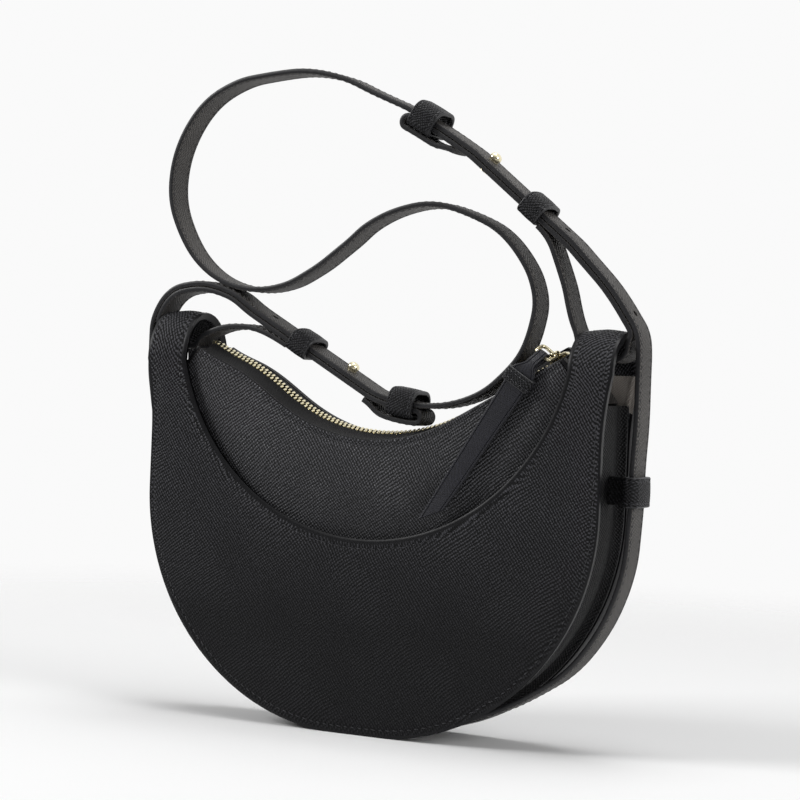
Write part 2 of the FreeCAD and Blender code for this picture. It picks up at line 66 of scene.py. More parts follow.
# Materials
def linearColour(hexText):
    parts = [int(hexText[i:i + 2], 16) / 255 for i in (1, 3, 5)]
    return [c / 12.92 if c <= 0.04045 else ((c + 0.055) / 1.055) ** 2.4 for c in parts] + [1.0]


def addNode(tree, kind, inputs, **settings):  # a node given as an input links its first output
    node = tree.nodes.new("ShaderNode" + kind)
    for name, value in settings.items():
        setattr(node, name, value)
    for name, value in inputs.items():
        if isinstance(value, bpy.types.Node):
            value = value.outputs[0]
        if isinstance(value, bpy.types.NodeSocket):
            tree.links.new(value, node.inputs[name])
        else:
            node.inputs[name].default_value = value
    return node


def newFinish(name, sockets):
    finish = bpy.data.materials.new(name)
    finish.use_nodes = True
    shader = finish.node_tree.nodes["Principled BSDF"]
    for socket, value in sockets.items():
        shader.inputs[socket].default_value = value
    return finish, finish.node_tree, shader


def coat(tree, shader, look, tone, wear, height):  # colour from tone, roughness from wear, relief from height
    colour = addNode(tree, "MixRGB", {"Fac": tone, "Color1": linearColour(look["low"]),
                                      "Color2": linearColour(look["high"])})
    rough = addNode(tree, "MapRange", {"Value": wear, "To Min": look["rough"][0], "To Max": look["rough"][1]})
    relief = addNode(tree, "Bump", {"Height": height, "Strength": look["bump"], "Distance": look["deep"] * mm})
    for socket, node in (("Base Color", colour), ("Roughness", rough), ("Normal", relief)):
        tree.links.new(node.outputs[0], shader.inputs[socket])


# Cowhide with a cross-hatched grain pressed in: two families of slanted ridges, now one and now the other higher.
# Colour is dark in the grooves and paler on the ridge tops: grain with painted groove shade and painted crest
# highlights.
# The tops are satin, smoother and painted paler towards the top of the bag and darker lower down, a painted top light.
waveGap = 0.314  # how far apart the bands of a wave texture lie at scale 1
# The last entry gives the heights in mm over which the painted top light rises
pressing = {"ridge": {"Detail": 1.5, "Detail Scale": 2.4}, "swap": {"From Min": 0.4, "From Max": 0.6},
            "stands": ({"To Min": 0.5, "To Max": 1.0}, {"To Min": 1.0, "To Max": 0.5}),
            "cloud": 40, "shade": {"From Min": 0.3, "From Max": 0.7, "To Min": 0.6},
            "paintedTopLit": {"From Min": 50, "From Max": 165}}


def pressedLeather(name, look):
    finish, tree, shader = newFinish(name, {"Specular IOR Level": look["gloss"], "IOR": 1.5})
    spot = addNode(tree, "TexCoord", {})
    inMm = addNode(tree, "Mapping", {"Vector": spot.outputs["UV"], "Scale": (1000, 1000, 1000)})
    slow = addNode(tree, "TexNoise", {"Vector": inMm, "Scale": 1 / look["driftSize"], "Detail": 2})
    centred = addNode(tree, "VectorMath", {0: slow.outputs["Color"], 1: (0.5, 0.5, 0.5)}, operation="SUBTRACT")
    drift = addNode(tree, "VectorMath", {0: centred, "Scale": look["drift"]}, operation="SCALE")
    warped = addNode(tree, "VectorMath", {0: inMm, 1: drift}, operation="ADD")
    patch = addNode(tree, "TexNoise", {"Vector": inMm, "Scale": 1 / look["patch"], "Detail": 1})
    pores = addNode(tree, "TexNoise", {"Vector": inMm, "Scale": 1 / look["pore"], "Detail": 2})
    height = addNode(tree, "Math", {0: pores, 1: look["poreDepth"]}, operation="MULTIPLY")
    for turn, pitch, strength in zip(look["turns"], look["pitches"], pressing["stands"]):
        slanted = addNode(tree, "Mapping", {"Vector": warped, "Rotation": (0, 0, radians(turn))})
        ridge = addNode(tree, "TexWave", {"Vector": slanted, "Scale": waveGap / pitch, "Distortion": look["wander"],
                                          **pressing["ridge"]}, bands_direction="X")
        stands = addNode(tree, "MapRange", {"Value": patch, **pressing["swap"], **strength})
        height = addNode(tree, "Math", {0: ridge.outputs["Fac"], 1: stands, 2: height}, operation="MULTIPLY_ADD")
    # Crest mask: ridge tops take the paler colour as a painted highlight over the grain, grooves the dark one as
    # painted shade
    low, high = (look["poreDepth"] / 2 + crest for crest in look["crest"])
    tops = addNode(tree, "MapRange", {"Value": height, "From Min": low, "From Max": high})
    cloud = addNode(tree, "TexNoise", {"Vector": inMm, "Scale": 1 / pressing["cloud"], "Detail": 3})
    shade = addNode(tree, "MapRange", {"Value": cloud, **pressing["shade"]})
    upDown = addNode(tree, "SeparateXYZ", {"Vector": inMm})
    # Painted top light: the colour is darker low on the bag and paler high on it
    paintedTopLight = addNode(tree, "MapRange", {"Value": upDown.outputs["Y"], **pressing["paintedTopLit"],
                                        "To Min": look["paintedTopLight"][0], "To Max": look["paintedTopLight"][1]})
    paintedTopLit = addNode(tree, "Math", {0: shade, 1: paintedTopLight}, operation="MULTIPLY")
    # Painted crest highlight and painted top light, times the random tone, set both colour and roughness
    crestLightAndTone = addNode(tree, "Math", {0: tops, 1: paintedTopLit}, operation="MULTIPLY")
    coat(tree, shader, look, crestLightAndTone, crestLightAndTone, height)
    return finish


# The bag's leather: slanted grain about 1.4 mm apart, black in the grooves with satin ridge tops, painted paler higher
# up
bagLook = {"low": "#101011", "high": "#444448", "turns": (54, -35), "pitches": (1.45, 1.3), "drift": 6,
           "driftSize": 40, "patch": 42, "wander": 2.0, "pore": 1.1, "poreDepth": 1.3, "crest": (0.65, 1.4),
           "bump": 1.0, "deep": 0.25, "rough": (0.75, 0.38), "gloss": 0.15, "paintedTopLight": (0.36, 2.0)}
bagLeather = pressedLeather("cross_grained_cowhide", bagLook)
# The pouch's leather: the same pressing on a softer, shinier hide, its ridge tops painted paler than the bag's as
# painted light
pouchLeather = pressedLeather("soft_cross_grained_cowhide", {
    **bagLook, "rough": (0.7, 0.32), "gloss": 0.28, "high": "#4c4c50"})
# The bands' leather: the same pressing cut thin and buffed, so its finer grain glints
bandLeather = pressedLeather("buffed_cross_grained_cowhide", {
    **bagLook, "pitches": (1.25, 1.15), "low": "#040405", "high": "#38383c", "rough": (0.65, 0.28), "gloss": 0.2,
    "patch": 14, "paintedTopLight": (1, 1)})
# The belt's leather: a finer grain, a little browner and greyer where light falls on it
beltLeather = pressedLeather("belt_cowhide", {
    **bagLook, "low": "#1d1c1c", "high": "#595551", "turns": (52, -44), "pitches": (1.2, 1.3), "drift": 5,
    "driftSize": 20, "patch": 12, "wander": 0.6, "pore": 0.7, "poreDepth": 0.9, "crest": (0.3, 1.3), "bump": 0.9,
    "rough": (0.65, 0.42), "gloss": 0.36, "paintedTopLight": (1, 1)})
# The pull's leather: smooth full grain calf, blue black with a soft sheen
pullLeather = pressedLeather("smooth_calf", {
    **bagLook, "low": "#16161a", "high": "#2a2a31", "turns": (70, -20), "pitches": (0.7, 0.8), "driftSize": 14,
    "patch": 9, "wander": 3, "pore": 0.5, "poreDepth": 0.8, "crest": (0.2, 1.2), "bump": 0.2, "rough": (0.5, 0.4),
    "gloss": 0.36, "paintedTopLight": (1, 1)})


# Edge paint: several coats of black on the cut edge, smooth, faintly wavy, catching a thin light line
def paintedEdge(name, look):
    finish, tree, shader = newFinish(name, {"Specular IOR Level": look["gloss"], "IOR": 1.5})
    spot = addNode(tree, "TexCoord", {})
    waves, grit = (addNode(tree, "TexNoise", {"Vector": spot.outputs["Object"], "Scale": 1000 / size, "Detail": 2})
                   for size in (look["waves"], look["grit"]))
    height = addNode(tree, "Math", {0: grit, 1: look["gritShare"], 2: waves}, operation="MULTIPLY_ADD")
    coat(tree, shader, look, waves, grit, height)
    return finish


# Woven cloth: threads crossing at a slant. The real 0.4 mm threads are drawn at the given pitch to show.
def wovenCloth(name, look):
    finish, tree, shader = newFinish(name, {"Specular IOR Level": 0.2, "Sheen Weight": look["sheen"],
                                            "Sheen Roughness": 0.6})
    spot = addNode(tree, "TexCoord", {})
    inMm = addNode(tree, "Mapping", {"Vector": spot.outputs["UV"], "Scale": (1000, 1000, 1000)})
    threads = []
    for turn in look["turns"]:
        slanted = addNode(tree, "Mapping", {"Vector": inMm, "Rotation": (0, 0, radians(turn))})
        wave = addNode(tree, "TexWave", {"Vector": slanted, "Scale": waveGap / look["pitch"], "Distortion": 0.6},
                       bands_direction="X")
        threads.append(wave.outputs["Fac"])
    fuzz = addNode(tree, "TexNoise", {"Vector": inMm, "Scale": look["fuzz"], "Detail": 4})
    weave = addNode(tree, "Math", {0: threads[0], 1: threads[1]}, operation="MULTIPLY")
    height = addNode(tree, "Math", {0: fuzz, 1: look["fuzzShare"], 2: weave}, operation="MULTIPLY_ADD")
    coat(tree, shader, look, height, fuzz, height)
    return finish


# Fine grain all through: plated zinc, thread and board differ only in their numbers
def grainedSolid(name, look, sockets):
    finish, tree, shader = newFinish(name, sockets)
    spot = addNode(tree, "TexCoord", {})
    stretched = addNode(tree, "Mapping", {"Vector": spot.outputs["Object"], "Scale": look["stretch"]})
    grain = addNode(tree, "TexNoise", {"Vector": stretched, "Scale": 1000 / look["grain"], "Detail": 3})
    coat(tree, shader, look, grain, grain, grain)
    return finish


# The same edge paint twice: the bag's copy darker, painted shade, and the belts', bands' and pull's copy paler and
# glossier, painted light
paintLook = {"waves": 4, "grit": 0.6, "gritShare": 0.2, "bump": 0.3, "deep": 0.3, "rough": (0.34, 0.48)}
edgePaint = paintedEdge("matt_edge_paint", {**paintLook, "low": "#0d0d0f", "high": "#19191b", "gloss": 0.2})
beltPaint = paintedEdge("satin_edge_paint", {**paintLook, "low": "#1a1a1c", "high": "#2a2a2c", "gloss": 0.4})
clothLook = {"fuzz": 2.2, "fuzzShare": 0.6, "bump": 0.7, "deep": 0.3, "rough": (0.75, 0.95)}
# Zip tape: black polyester, matt and a little fuzzy
tapeCloth = wovenCloth("polyester_zip_tape", {
    **clothLook, "low": "#060607", "high": "#161517", "turns": (45, -45), "pitch": 0.9, "sheen": 0.06})
# Bare inner face of the leather: brushed split, warm grey, quite matt, painted paler than the split is as painted light
# on the back horns' inner faces
rawLeather = wovenCloth("brushed_split_leather", {
    **clothLook, "low": "#7d7670", "high": "#a8a19a", "turns": (20, -65), "pitch": 0.7, "sheen": 0.15})
# Lining: plain cotton twill, dark grey
liningCloth = wovenCloth("cotton_twill", {
    **clothLook, "low": "#1e1d20", "high": "#3a383c", "turns": (63, -27), "pitch": 0.8, "sheen": 0.1})
# Pale gold plating on zinc: bright, with soft uneven polish
goldPlate = grainedSolid("pale_gold_plated_zinc", {
    "low": "#eadcae", "high": "#fbf5dc", "stretch": (1, 1, 1), "grain": 1.2, "bump": 0.02, "deep": 0.2,
    "rough": (0.16, 0.26)}, {"Metallic": 0.85})
# Bonded black nylon thread: dull, slightly twisted
thread = grainedSolid("bonded_nylon_thread", {
    "low": "#0c0c0d", "high": "#3c3c40", "stretch": (1, 2, 1), "grain": 0.5, "bump": 0.5, "deep": 0.2,
    "rough": (0.3, 0.5)}, {"Specular IOR Level": 0.5})
# Pressed fibre board under the lining: brown, dry, with short fibres
fibreBoard = grainedSolid("pressed_fibre_board", {
    "low": "#5a4a38", "high": "#7d6a52", "stretch": (1, 3, 3), "grain": 2, "bump": 0.4, "deep": 0.2,
    "rough": (0.8, 0.95)}, {"Specular IOR Level": 0.2})
print("materials ready")


# Runs: lists of points in the XZ plane with their headings
def flat(x, z):
    return Vector((x, z))


def atDepth(p, y):  # a run's point in space
    return Vector((p.x, y, p.y))


def normalTo(h):  # the left of a heading, in space
    return Vector((-h.y, 0, h.x))


def evenParts(count):
    return [k / count for k in range(count + 1)]


def straightRun(start, end, step=2.0):
    heading = (end - start).normalized()
    return [(start.lerp(end, part), heading) for part in evenParts(max(1, ceil((end - start).length / step)))]


def turned(heading, angle):
    return flat(heading.x * cos(angle) - heading.y * sin(angle), heading.x * sin(angle) + heading.y * cos(angle))


def arcRun(start, heading, end, step=2.0):
    chord = end - start
    turn = atan2(heading.x * chord.y - heading.y * chord.x, heading.dot(chord))
    bent = abs(turn) > 1e-5
    count = max(4, ceil(chord.length * (turn / sin(turn) if bent else 1) / step))
    run = []
    for part in evenParts(count):
        reach = chord.length * (sin(turn * part) / sin(turn) if bent else part)
        run.append((start + turned(heading, turn * part) * reach, turned(heading, 2 * turn * part)))
    return run


def joined(*runs):
    whole = list(runs[0])
    for run in runs[1:]:
        whole += [spot for spot in run if (spot[0] - whole[-1][0]).length > 1e-3]
    return whole


def bendRun(start, heading, end, leaving):  # two arcs that meet smoothly
    step = end - start
    both = heading + leaving
    bend = 1 - heading.dot(leaving)
    if bend < 1e-6:
        reach = step.dot(step) / (4 * step.dot(leaving))
    else:
        reach = (-step.dot(both) + (step.dot(both) ** 2 + 2 * bend * step.dot(step)) ** 0.5) / (2 * bend)
    middle = (start + end + (heading - leaving) * reach) / 2
    first = arcRun(start, heading, middle)
    return joined(first, arcRun(middle, first[-1][1], end))


def smoothLegs(route, first, last):
    route = [Vector(p) for p in route]
    headings = [first]
    for before, here, after in zip(route, route[1:], route[2:]):
        stepIn, stepOut = here - before, after - here
        headings.append((stepIn.normalized() * stepOut.length + stepOut.normalized() * stepIn.length).normalized())
    headings.append(last)
    return [bendRun(route[i], headings[i], route[i + 1], headings[i + 1]) for i in range(len(route) - 1)]


def shifted(run, distance):
    return [(p + flat(-h.y, h.x) * distance, h) for p, h in run]


def turnedBack(run):
    return [(p, -h) for p, h in reversed(run)]


def mirrored(run):
    return [(flat(-p.x, p.y), flat(h.x, -h.y)) for p, h in reversed(run)]


def bothSides(half):
    return joined(mirrored(half), half)


def lengthOf(run):
    return sum((b[0] - a[0]).length for a, b in zip(run, run[1:]))


def evenly(run, count):
    gap = lengthOf(run) / count
    result, walked, k = [run[0]], 0.0, 0
    for i in range(1, count):
        while k < len(run) - 2 and walked + lengthOf(run[k:k + 2]) < i * gap:
            walked += lengthOf(run[k:k + 2])
            k += 1
        (p, h), (q, g) = run[k], run[k + 1]
        part = (i * gap - walked) / (q - p).length
        result.append((p.lerp(q, part), h.lerp(g, part).normalized()))
    return result + [run[-1]]


def share(value, start, end):  # 0 at the start, 1 at the end
    return max(0, min(1, (value - start) / (end - start)))


def ease(value, start, end):
    part = share(value, start, end)
    return part * part * (3 - 2 * part)


rightward, leftward, upward, downward = flat(1, 0), flat(-1, 0), flat(0, 1), flat(0, -1)


# Making pieces
def select(piece):
    bpy.ops.object.select_all(action="DESELECT")
    piece.select_set(True)
    bpy.context.view_layer.objects.active = piece


def newPiece(name, make, **shape):
    bpy.ops.object.select_all(action="DESELECT")
    make(**shape)
    piece = bpy.context.object
    piece.name = piece.data.name = name
    return piece


def reshape(piece, *steps):
    select(piece)
    bpy.ops.object.mode_set(mode="EDIT")
    for step, settings in steps:
        bpy.ops.mesh.select_all(action="SELECT")
        step(**settings)
    bpy.ops.object.mode_set(mode="OBJECT")


def modify(piece, kind, **settings):
    select(piece)
    bpy.ops.object.modifier_add(type=kind)
    modifier = piece.modifiers[-1]
    for name, value in settings.items():
        setattr(modifier, name, value)
    bpy.ops.object.modifier_apply(modifier=modifier.name)


def layGrid(name, points, finishes, spread=None, closed=False, paintCols=()):
    rows, cols = len(points), len(points[0])
    piece = newPiece(name, bpy.ops.mesh.primitive_grid_add, x_subdivisions=cols - 1, y_subdivisions=rows - 1, size=1)
    mesh = piece.data
    for finish in finishes:
        mesh.materials.append(finish)
    mesh.vertices.foreach_set("co", [c * mm for row in points for p in row for c in p])
    if spread is None:  # laid flat along its middle row and column
        along, across = [0.0], [0.0]
        for a, b in zip(points, points[1:]):
            along.append(along[-1] + (b[cols // 2] - a[cols // 2]).length)
        for a, b in zip(points[rows // 2], points[rows // 2][1:]):
            across.append(across[-1] + (b - a).length)
        spread = [[(u, v) for v in across] for u in along]
    spots = [spot for row in spread for spot in row]
    corners = [0] * len(mesh.loops)
    mesh.loops.foreach_get("vertex_index", corners)
    mesh.uv_layers.active.data.foreach_set("uv", [c * mm for k in corners for c in spots[k]])
    for face in mesh.polygons:
        face.material_index = 1 if face.index % (cols - 1) in paintCols else 0
    mesh.update()
    if closed:  # weld the seams, cap open ends, point the faces outwards
        reshape(piece, (bpy.ops.mesh.remove_doubles, {"threshold": 1e-6}), (bpy.ops.mesh.fill_holes, {"sides": 0}),
                (bpy.ops.mesh.normals_make_consistent, {"inside": False}))
    return piece


def seenFlat(rows):  # a standing wall's points as its front view shows them
    return [[(p.x, p.z) for p in row] for row in rows]


def wallPiece(name, look, points, finishes, spread=None, rim=1, segments=2, paintCols=()):
    piece = layGrid(name, points, finishes, spread, paintCols=paintCols)
    modify(piece, "SOLIDIFY", thickness=look["thick"] * mm, offset=0, material_offset_rim=rim)
    modify(piece, "BEVEL", width=look["bevel"] * mm, segments=segments, limit_method="ANGLE", angle_limit=radians(55))
    return piece


def copiesOf(base, name, places):
    corners = [v.co.copy() for v in base.data.vertices]
    sides = [tuple(face.vertices) for face in base.data.polygons]
    spots, faces = [], []
    for origin, along, out in places:
        across = out.cross(along)
        first = len(spots)
        spots += [origin * mm + along * c.x + across * c.y + out * c.z for c in corners]
        faces += [tuple(first + k for k in side) for side in sides]
    mesh = bpy.data.meshes.new(name)
    mesh.from_pydata(spots, [], faces)
    piece = bpy.data.objects.new(name, mesh)
    bpy.context.collection.objects.link(piece)
    return piece


def roundedBlock(name, size, centre, bevel, segments=2):
    piece = newPiece(name, bpy.ops.mesh.primitive_cube_add, size=1)
    reshape(piece, (bpy.ops.transform.resize, {"value": [s * mm for s in size]}),
            (bpy.ops.transform.translate, {"value": [c * mm for c in centre]}),
            (bpy.ops.mesh.bevel, {"offset": bevel * mm, "segments": segments, "affect": "EDGES"}))
    return piece


def joinPieces(main, *others):
    select(main)
    for other in others:
        other.select_set(True)
    bpy.ops.object.join()
    return main


def aheadOf(normal):
    return Vector((normal.z, 0, -normal.x))


def settle(piece, origin, normal=(0, 0, 1), ahead=None, across=(0, 1, 0)):
    turn = Matrix((ahead or aheadOf(Vector(normal)), across, normal)).transposed().to_4x4()
    piece.data.transform(Matrix.Translation(Vector(origin) * mm) @ turn)
    piece.data.update()


def dress(piece, slotName, *finishes):
    for finish in finishes:
        piece.data.materials.append(finish)
    select(piece)
    bpy.ops.object.shade_smooth_by_angle(angle=radians(40))
    return piece


def ringOf(half, face, edge, middle, under=inf):  # a strip's closed section, from its edge in and from its face up
    top = [(x - half, face + rise) for x, rise in edge] + [(x, face + rise) for x, rise in middle]
    top += [(-x, o) for x, o in reversed(top[:-1])]
    ring = top + [(x, -min(o, under)) for x, o in reversed(top)]
    return ring + ring[:1]


def edgeColumns(ring, reach):
    return [k for k in range(len(ring) - 1) if min(abs(ring[k][0]), abs(ring[k + 1][0])) > reach]


# One stitch, modelled once: a short thread seen between two needle holes, a little slanted
stitchLook = {"length": 2.6, "width": 0.62, "height": 0.65, "slant": 10, "pitch": 3.8, "bandPitch": 2.6}
stitch = newPiece("stitch", bpy.ops.mesh.primitive_uv_sphere_add, segments=6, ring_count=4, radius=0.5)
reshape(stitch, (bpy.ops.transform.resize, {"value": [stitchLook[k] * mm for k in ("length", "width", "height")]}),
        (bpy.ops.transform.rotate, {"value": radians(stitchLook["slant"]), "orient_axis": "Z",
                                    "center_override": (0, 0, 0)}))


def stitchPlaces(line, pitch):
    places, walked, due = [], 0.0, pitch / 2
    for (a, outA), (b, outB) in zip(line, line[1:]):
        gap = (b - a).length
        while gap > 1e-6 and walked + gap >= due:
            part = (due - walked) / gap
            along = (b - a) / gap
            out = outA.lerp(outB, part)
            out = (out - along * out.dot(along)).normalized()
            places.append((a.lerp(b, part), along, out))
            due += pitch
        walked += gap
    return places


def stitchRows(name, lines, pitch=stitchLook["pitch"]):
    rows = copiesOf(stitch, name, [place for line in lines for place in stitchPlaces(line, pitch)])
    return dress(rows, "strap_leather", thread)


# Outline shared by panels, gusset and pouch
bag = {"halfWidth": 121, "standHalf": 9, "radius": 112, "hornZ": 176, "hornOut": 125, "hornIn": 104,
       "flareLow": 140, "scoopLow": 92.5, "panelMid": 18, "archMid": 18}


def lowerRun(inset, top):
    turnEnd = flat(bag["halfWidth"] - inset, bag["radius"])
    return joined(straightRun(flat(0, inset), flat(bag["standHalf"], inset)),
                  arcRun(flat(bag["standHalf"], inset), rightward, turnEnd), straightRun(turnEnd, flat(turnEnd.x, top)))


def bellyRun(look):  # round the belly from one side's top to the other's
    return evenly(bothSides(lowerRun(look["inset"], look["top"])), look["rows"])


scoopRise = bag["hornZ"] - bag["scoopLow"]
scoopRadius = (bag["hornIn"] ** 2 + scoopRise ** 2) / (2 * scoopRise)
scoopRun = bothSides(arcRun(flat(0, bag["scoopLow"]), rightward, flat(bag["hornIn"], bag["hornZ"])))
flare = arcRun(flat(bag["halfWidth"], bag["flareLow"]), upward, flat(bag["hornOut"], bag["hornZ"]))
outerRun = bothSides(joined(lowerRun(0, bag["flareLow"]), flare))
dentLook = {"depth": 0.45, "seam": 0.7, "groove": 0.3}


def dent(distance, middle, kind):
    return dentLook["depth"] * exp(-((distance - middle) / dentLook[kind]) ** 2)


# Front panel and its two arches are one piece of leather; the back panel is the same cut without arches
panelLook = {"thick": 4.0, "rows": 220, "columns": 20, "archRows": 20, "bevel": 1.1, "puff": 1.5, "puffReach": 9,
             "wobble": 0.4, "wobbleSize": 40, "calmEdge": 8, "leftRise": 4.0, "bareFrom": 158, "stitchRise": 0.2,
             "outerStitch": 3.5, "nearOuter": (0, 1.3, 2.2, 2.9, 3.5, 4.1, 5.0, 6.5),
             "scoopStitch": 3.5, "nearScoop": (0, 0.6, 1.1, 1.5, 2.0, 2.9, 3.5, 4.1, 5.2),
             "band": 1.1, "bandRise": 0.2, "bandGroove": 1.5}


def panelColumns(width):
    first, last = panelLook["nearOuter"], panelLook["nearScoop"]
    between = width - first[-1] - last[-1]
    inner = [first[-1] + between * part for part in evenParts(panelLook["columns"])[1:-1]]
    return list(first) + inner + [width - d for d in reversed(last)]


def crown(outer, scoop):  # height of the padded face over its edge, with a rolled band along the scoop
    rise = panelLook["puff"] * (1 - exp(-min(outer, scoop) / panelLook["puffReach"]))
    rise -= dent(outer, panelLook["outerStitch"], "seam") + dent(scoop, panelLook["scoopStitch"], "seam")
    rise -= dent(scoop, panelLook["bandGroove"], "groove")
    return rise + panelLook["bandRise"] * sin(pi * min(1, scoop / panelLook["band"]))


def panelRow(outer, inner, lift):
    width = (inner - outer).length
    row = []
    for d in panelColumns(width):
        spot = outer.lerp(inner, d / width)
        calm = min(1, d / panelLook["calmEdge"], (width - d) / panelLook["calmEdge"])
        ripple = panelLook["wobble"] * noise.noise(spot / panelLook["wobbleSize"]) * calm
        row.append(spot + lift * (crown(d, width - d) + ripple))
    return row


def panelPiece(name, face, arches):
    points, lifts, spread = [], [], []
    turns = [pi * k / panelLook["archRows"] for k in range(panelLook["archRows"], 0, -1)] if arches else []

    def addRow(outer, inner, lift, over=None):  # over: the way over an arch
        points.append(panelRow(outer, inner, lift))
        spread.append([(p.x, over or p.z) for p in points[-1]])
        lifts.append(lift)

    def addArch(angle, side):
        lift = Vector((0, -cos(angle), sin(angle)))
        rise = panelLook["leftRise"] * sin(angle) if side < 0 else 0
        base = lift * bag["archMid"] + Vector((0, 0, bag["hornZ"] + rise))
        addRow(*(base + Vector((side * bag[edge], 0, 0)) for edge in ("hornOut", "hornIn")), lift,
               bag["hornZ"] + bag["archMid"] * angle)

    for angle in turns:
        addArch(angle, -1)
    for (outer, h), (inner, g) in zip(evenly(outerRun, panelLook["rows"]), evenly(scoopRun, panelLook["rows"])):
        addRow(*(atDepth(p, face * bag["panelMid"]) for p in (outer, inner)), Vector((0, face, 0)))
    for angle in reversed(turns):
        addArch(angle, 1)
    last = len(points[0]) - 1
    banded = [0] + [last - k for k in range(1, panelLook["nearScoop"].index(panelLook["band"]) + 1)]
    piece = wallPiece(name, panelLook, points, (bagLeather, edgePaint, rawLeather), spread, segments=3,
                      paintCols=banded)
    # The pale bare leather inside the back horns carries painted light in its colour
    for side in piece.data.polygons:  # the back horns are bare leather inside
        bare = not arches and side.center.z > panelLook["bareFrom"] * mm and side.normal.y < -0.9
        side.material_index = 2 if bare else min(1, side.material_index)
    columns = (panelLook["nearOuter"].index(panelLook["outerStitch"]),
               last - panelLook["nearScoop"].index(panelLook["scoopStitch"]))
    proud = panelLook["thick"] / 2 + panelLook["stitchRise"]
    rows = [[(row[k] + lift * proud, lift) for row, lift in zip(points, lifts)] for k in columns]
    return dress(piece, "grained_leather"), rows


frontPanel, frontRows = panelPiece("frontPanel", -1, True)
backPanel, backRows = panelPiece("backPanel", 1, False)
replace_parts(frontPanel, "front_panel")
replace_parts(backPanel, "back_panel")
panelStitches = stitchRows("panelStitches", frontRows + backRows)
for piece in (frontPanel, backPanel, panelStitches):
    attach(piece, "bag")
print("panels done")

# Gusset: a leather channel between the panels, its edges turned out to the panels' edges and its middle full
gussetLook = {"thick": 1.8, "inset": 5.9, "top": 162, "rows": 200, "bevel": 0.3,
              "profile": ((15.2, 4.9), (15.1, 3.4), (14.6, 1.4), (13.2, 0.1), (11.5, -0.2), (10.4, 0.35), (8, 0.7),
                          (4, 1.1), (0, 1.25))}
gussetSide = [(-y, o) for y, o in gussetLook["profile"]] + [(y, o) for y, o in reversed(gussetLook["profile"][:-1])]
gussetPoints = [[atDepth(p, y) - normalTo(h) * o for y, o in gussetSide] for p, h in bellyRun(gussetLook)]
gusset = wallPiece("gusset", gussetLook, gussetPoints, (pouchLeather, edgePaint))
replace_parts(dress(gusset, "grained_leather"), "gusset_band")
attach(gusset, "bag")
print("gusset done")

# Zip path: two straight arms and a round dip, the left arm bowed up a little
zipLook = {"low": (0, 144), "bend": (43.784, 155.368), "end": (97, 185), "bowed": (-95, -45), "bow": 2.2}
zipDip = arcRun(Vector(zipLook["low"]), rightward, Vector(zipLook["bend"]))
zipRun = bothSides(joined(zipDip, straightRun(zipDip[-1][0], Vector(zipLook["end"]))))
zipRun = [(p + flat(0, zipLook["bow"] * sin(pi * share(p.x, *zipLook["bowed"])) ** 2), h) for p, h in zipRun]

# The zip lies tilted, front edge low and back edge high, and comes level towards its right end
leanLook = {"angle": 13, "level": (84, 60), "leftEnd": (-97, -76), "leftShare": 0.5}


def zipLean(x):
    left = leanLook["leftShare"]
    return ease(x, *leanLook["level"]) * (left + (1 - left) * ease(x, *leanLook["leftEnd"]))


def besideZip(p, off):
    lean = radians(leanLook["angle"]) * zipLean(p.x)
    return Vector((p.x, off * cos(lean), p.y + off * sin(lean)))


# Pouch walls: thin leather that stands up behind the scoop, puffed a little above it, with a rolled top edge.
# The back wall follows the zip's tilt and stands higher behind the pull.
pouchLook = {"mid": 15, "thick": 1.9, "inset": 7.5, "top": 162, "drop": 2.8, "rows": 130, "columns": 30, "bevel": 0.6,
             "puff": 2.4, "puffed": (3, 23), "puffDepth": 24, "turnIn": 0.8, "turnReach": 2.5, "swell": 0.3,
             "swellSize": 25, "groove": 2.0, "stitchIn": 3.2, "stitchRise": 0.15, "band": (0,),
             "nearTop": (0, 0.7, 1.3, 2.0, 2.5, 3.2, 4.2, 6.0),
             "backRise": 1.8, "rightRise": 11.0, "rises": (54, 72), "falls": (98, 88)}
pouchBelow = bellyRun(pouchLook)
pouchAbove = evenly(zipRun, pouchLook["rows"])


def wallDrop(x, face):  # how far a pouch wall's top edge lies under the zip line
    if face < 0:
        return pouchLook["drop"]
    raised = pouchLook["rightRise"] * ease(x, *pouchLook["rises"]) * ease(x, *pouchLook["falls"])
    return pouchLook["drop"] - pouchLook["backRise"] * zipLean(x) - raised


def overScoop(spot):
    if abs(spot.x) >= bag["hornIn"]:
        return -inf
    return spot.y - (bag["scoopLow"] + scoopRadius - (scoopRadius ** 2 - spot.x ** 2) ** 0.5)


def pouchPiece(name, face):
    points, line = [], []
    near, below = pouchLook["nearTop"], evenParts(pouchLook["columns"])[1:]
    for (top, h), (foot, g) in zip(pouchAbove, pouchBelow):
        top = top - flat(0, wallDrop(top.x, face))
        width = (foot - top).length
        row = []
        for d in [*near, *(near[-1] + (width - near[-1]) * part for part in below)]:
            spot = top.lerp(foot, d / width)
            clear = share(overScoop(spot), *pouchLook["puffed"]) * min(1, d / pouchLook["puffDepth"])
            out = pouchLook["puff"] * ease(clear, 0, 1) - pouchLook["turnIn"] * exp(-d / pouchLook["turnReach"])
            out -= dent(d, pouchLook["stitchIn"], "seam") + dent(d, pouchLook["groove"], "groove")
            out += pouchLook["swell"] * noise.noise(atDepth(spot, 7 * face) / pouchLook["swellSize"])
            row.append(atDepth(spot, face * (pouchLook["mid"] + out)))
        points.append(row)
        outward = Vector((0, face, 0))
        proud = pouchLook["thick"] / 2 + pouchLook["stitchRise"]
        line.append((row[near.index(pouchLook["stitchIn"])] + outward * proud, outward))
    piece = wallPiece(name, pouchLook, points, (pouchLeather, edgePaint), seenFlat(points), segments=3,
                      paintCols=pouchLook["band"])
    return dress(piece, "grained_leather"), line


pouchFront, pouchFrontLine = pouchPiece("pouchFront", -1)
pouchBack, pouchBackLine = pouchPiece("pouchBack", 1)
pouchStitches = stitchRows("pouchStitches", [pouchFrontLine, pouchBackLine])
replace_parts(pouchFront, "pouch_front")
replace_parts(pouchBack, "pouch_back")

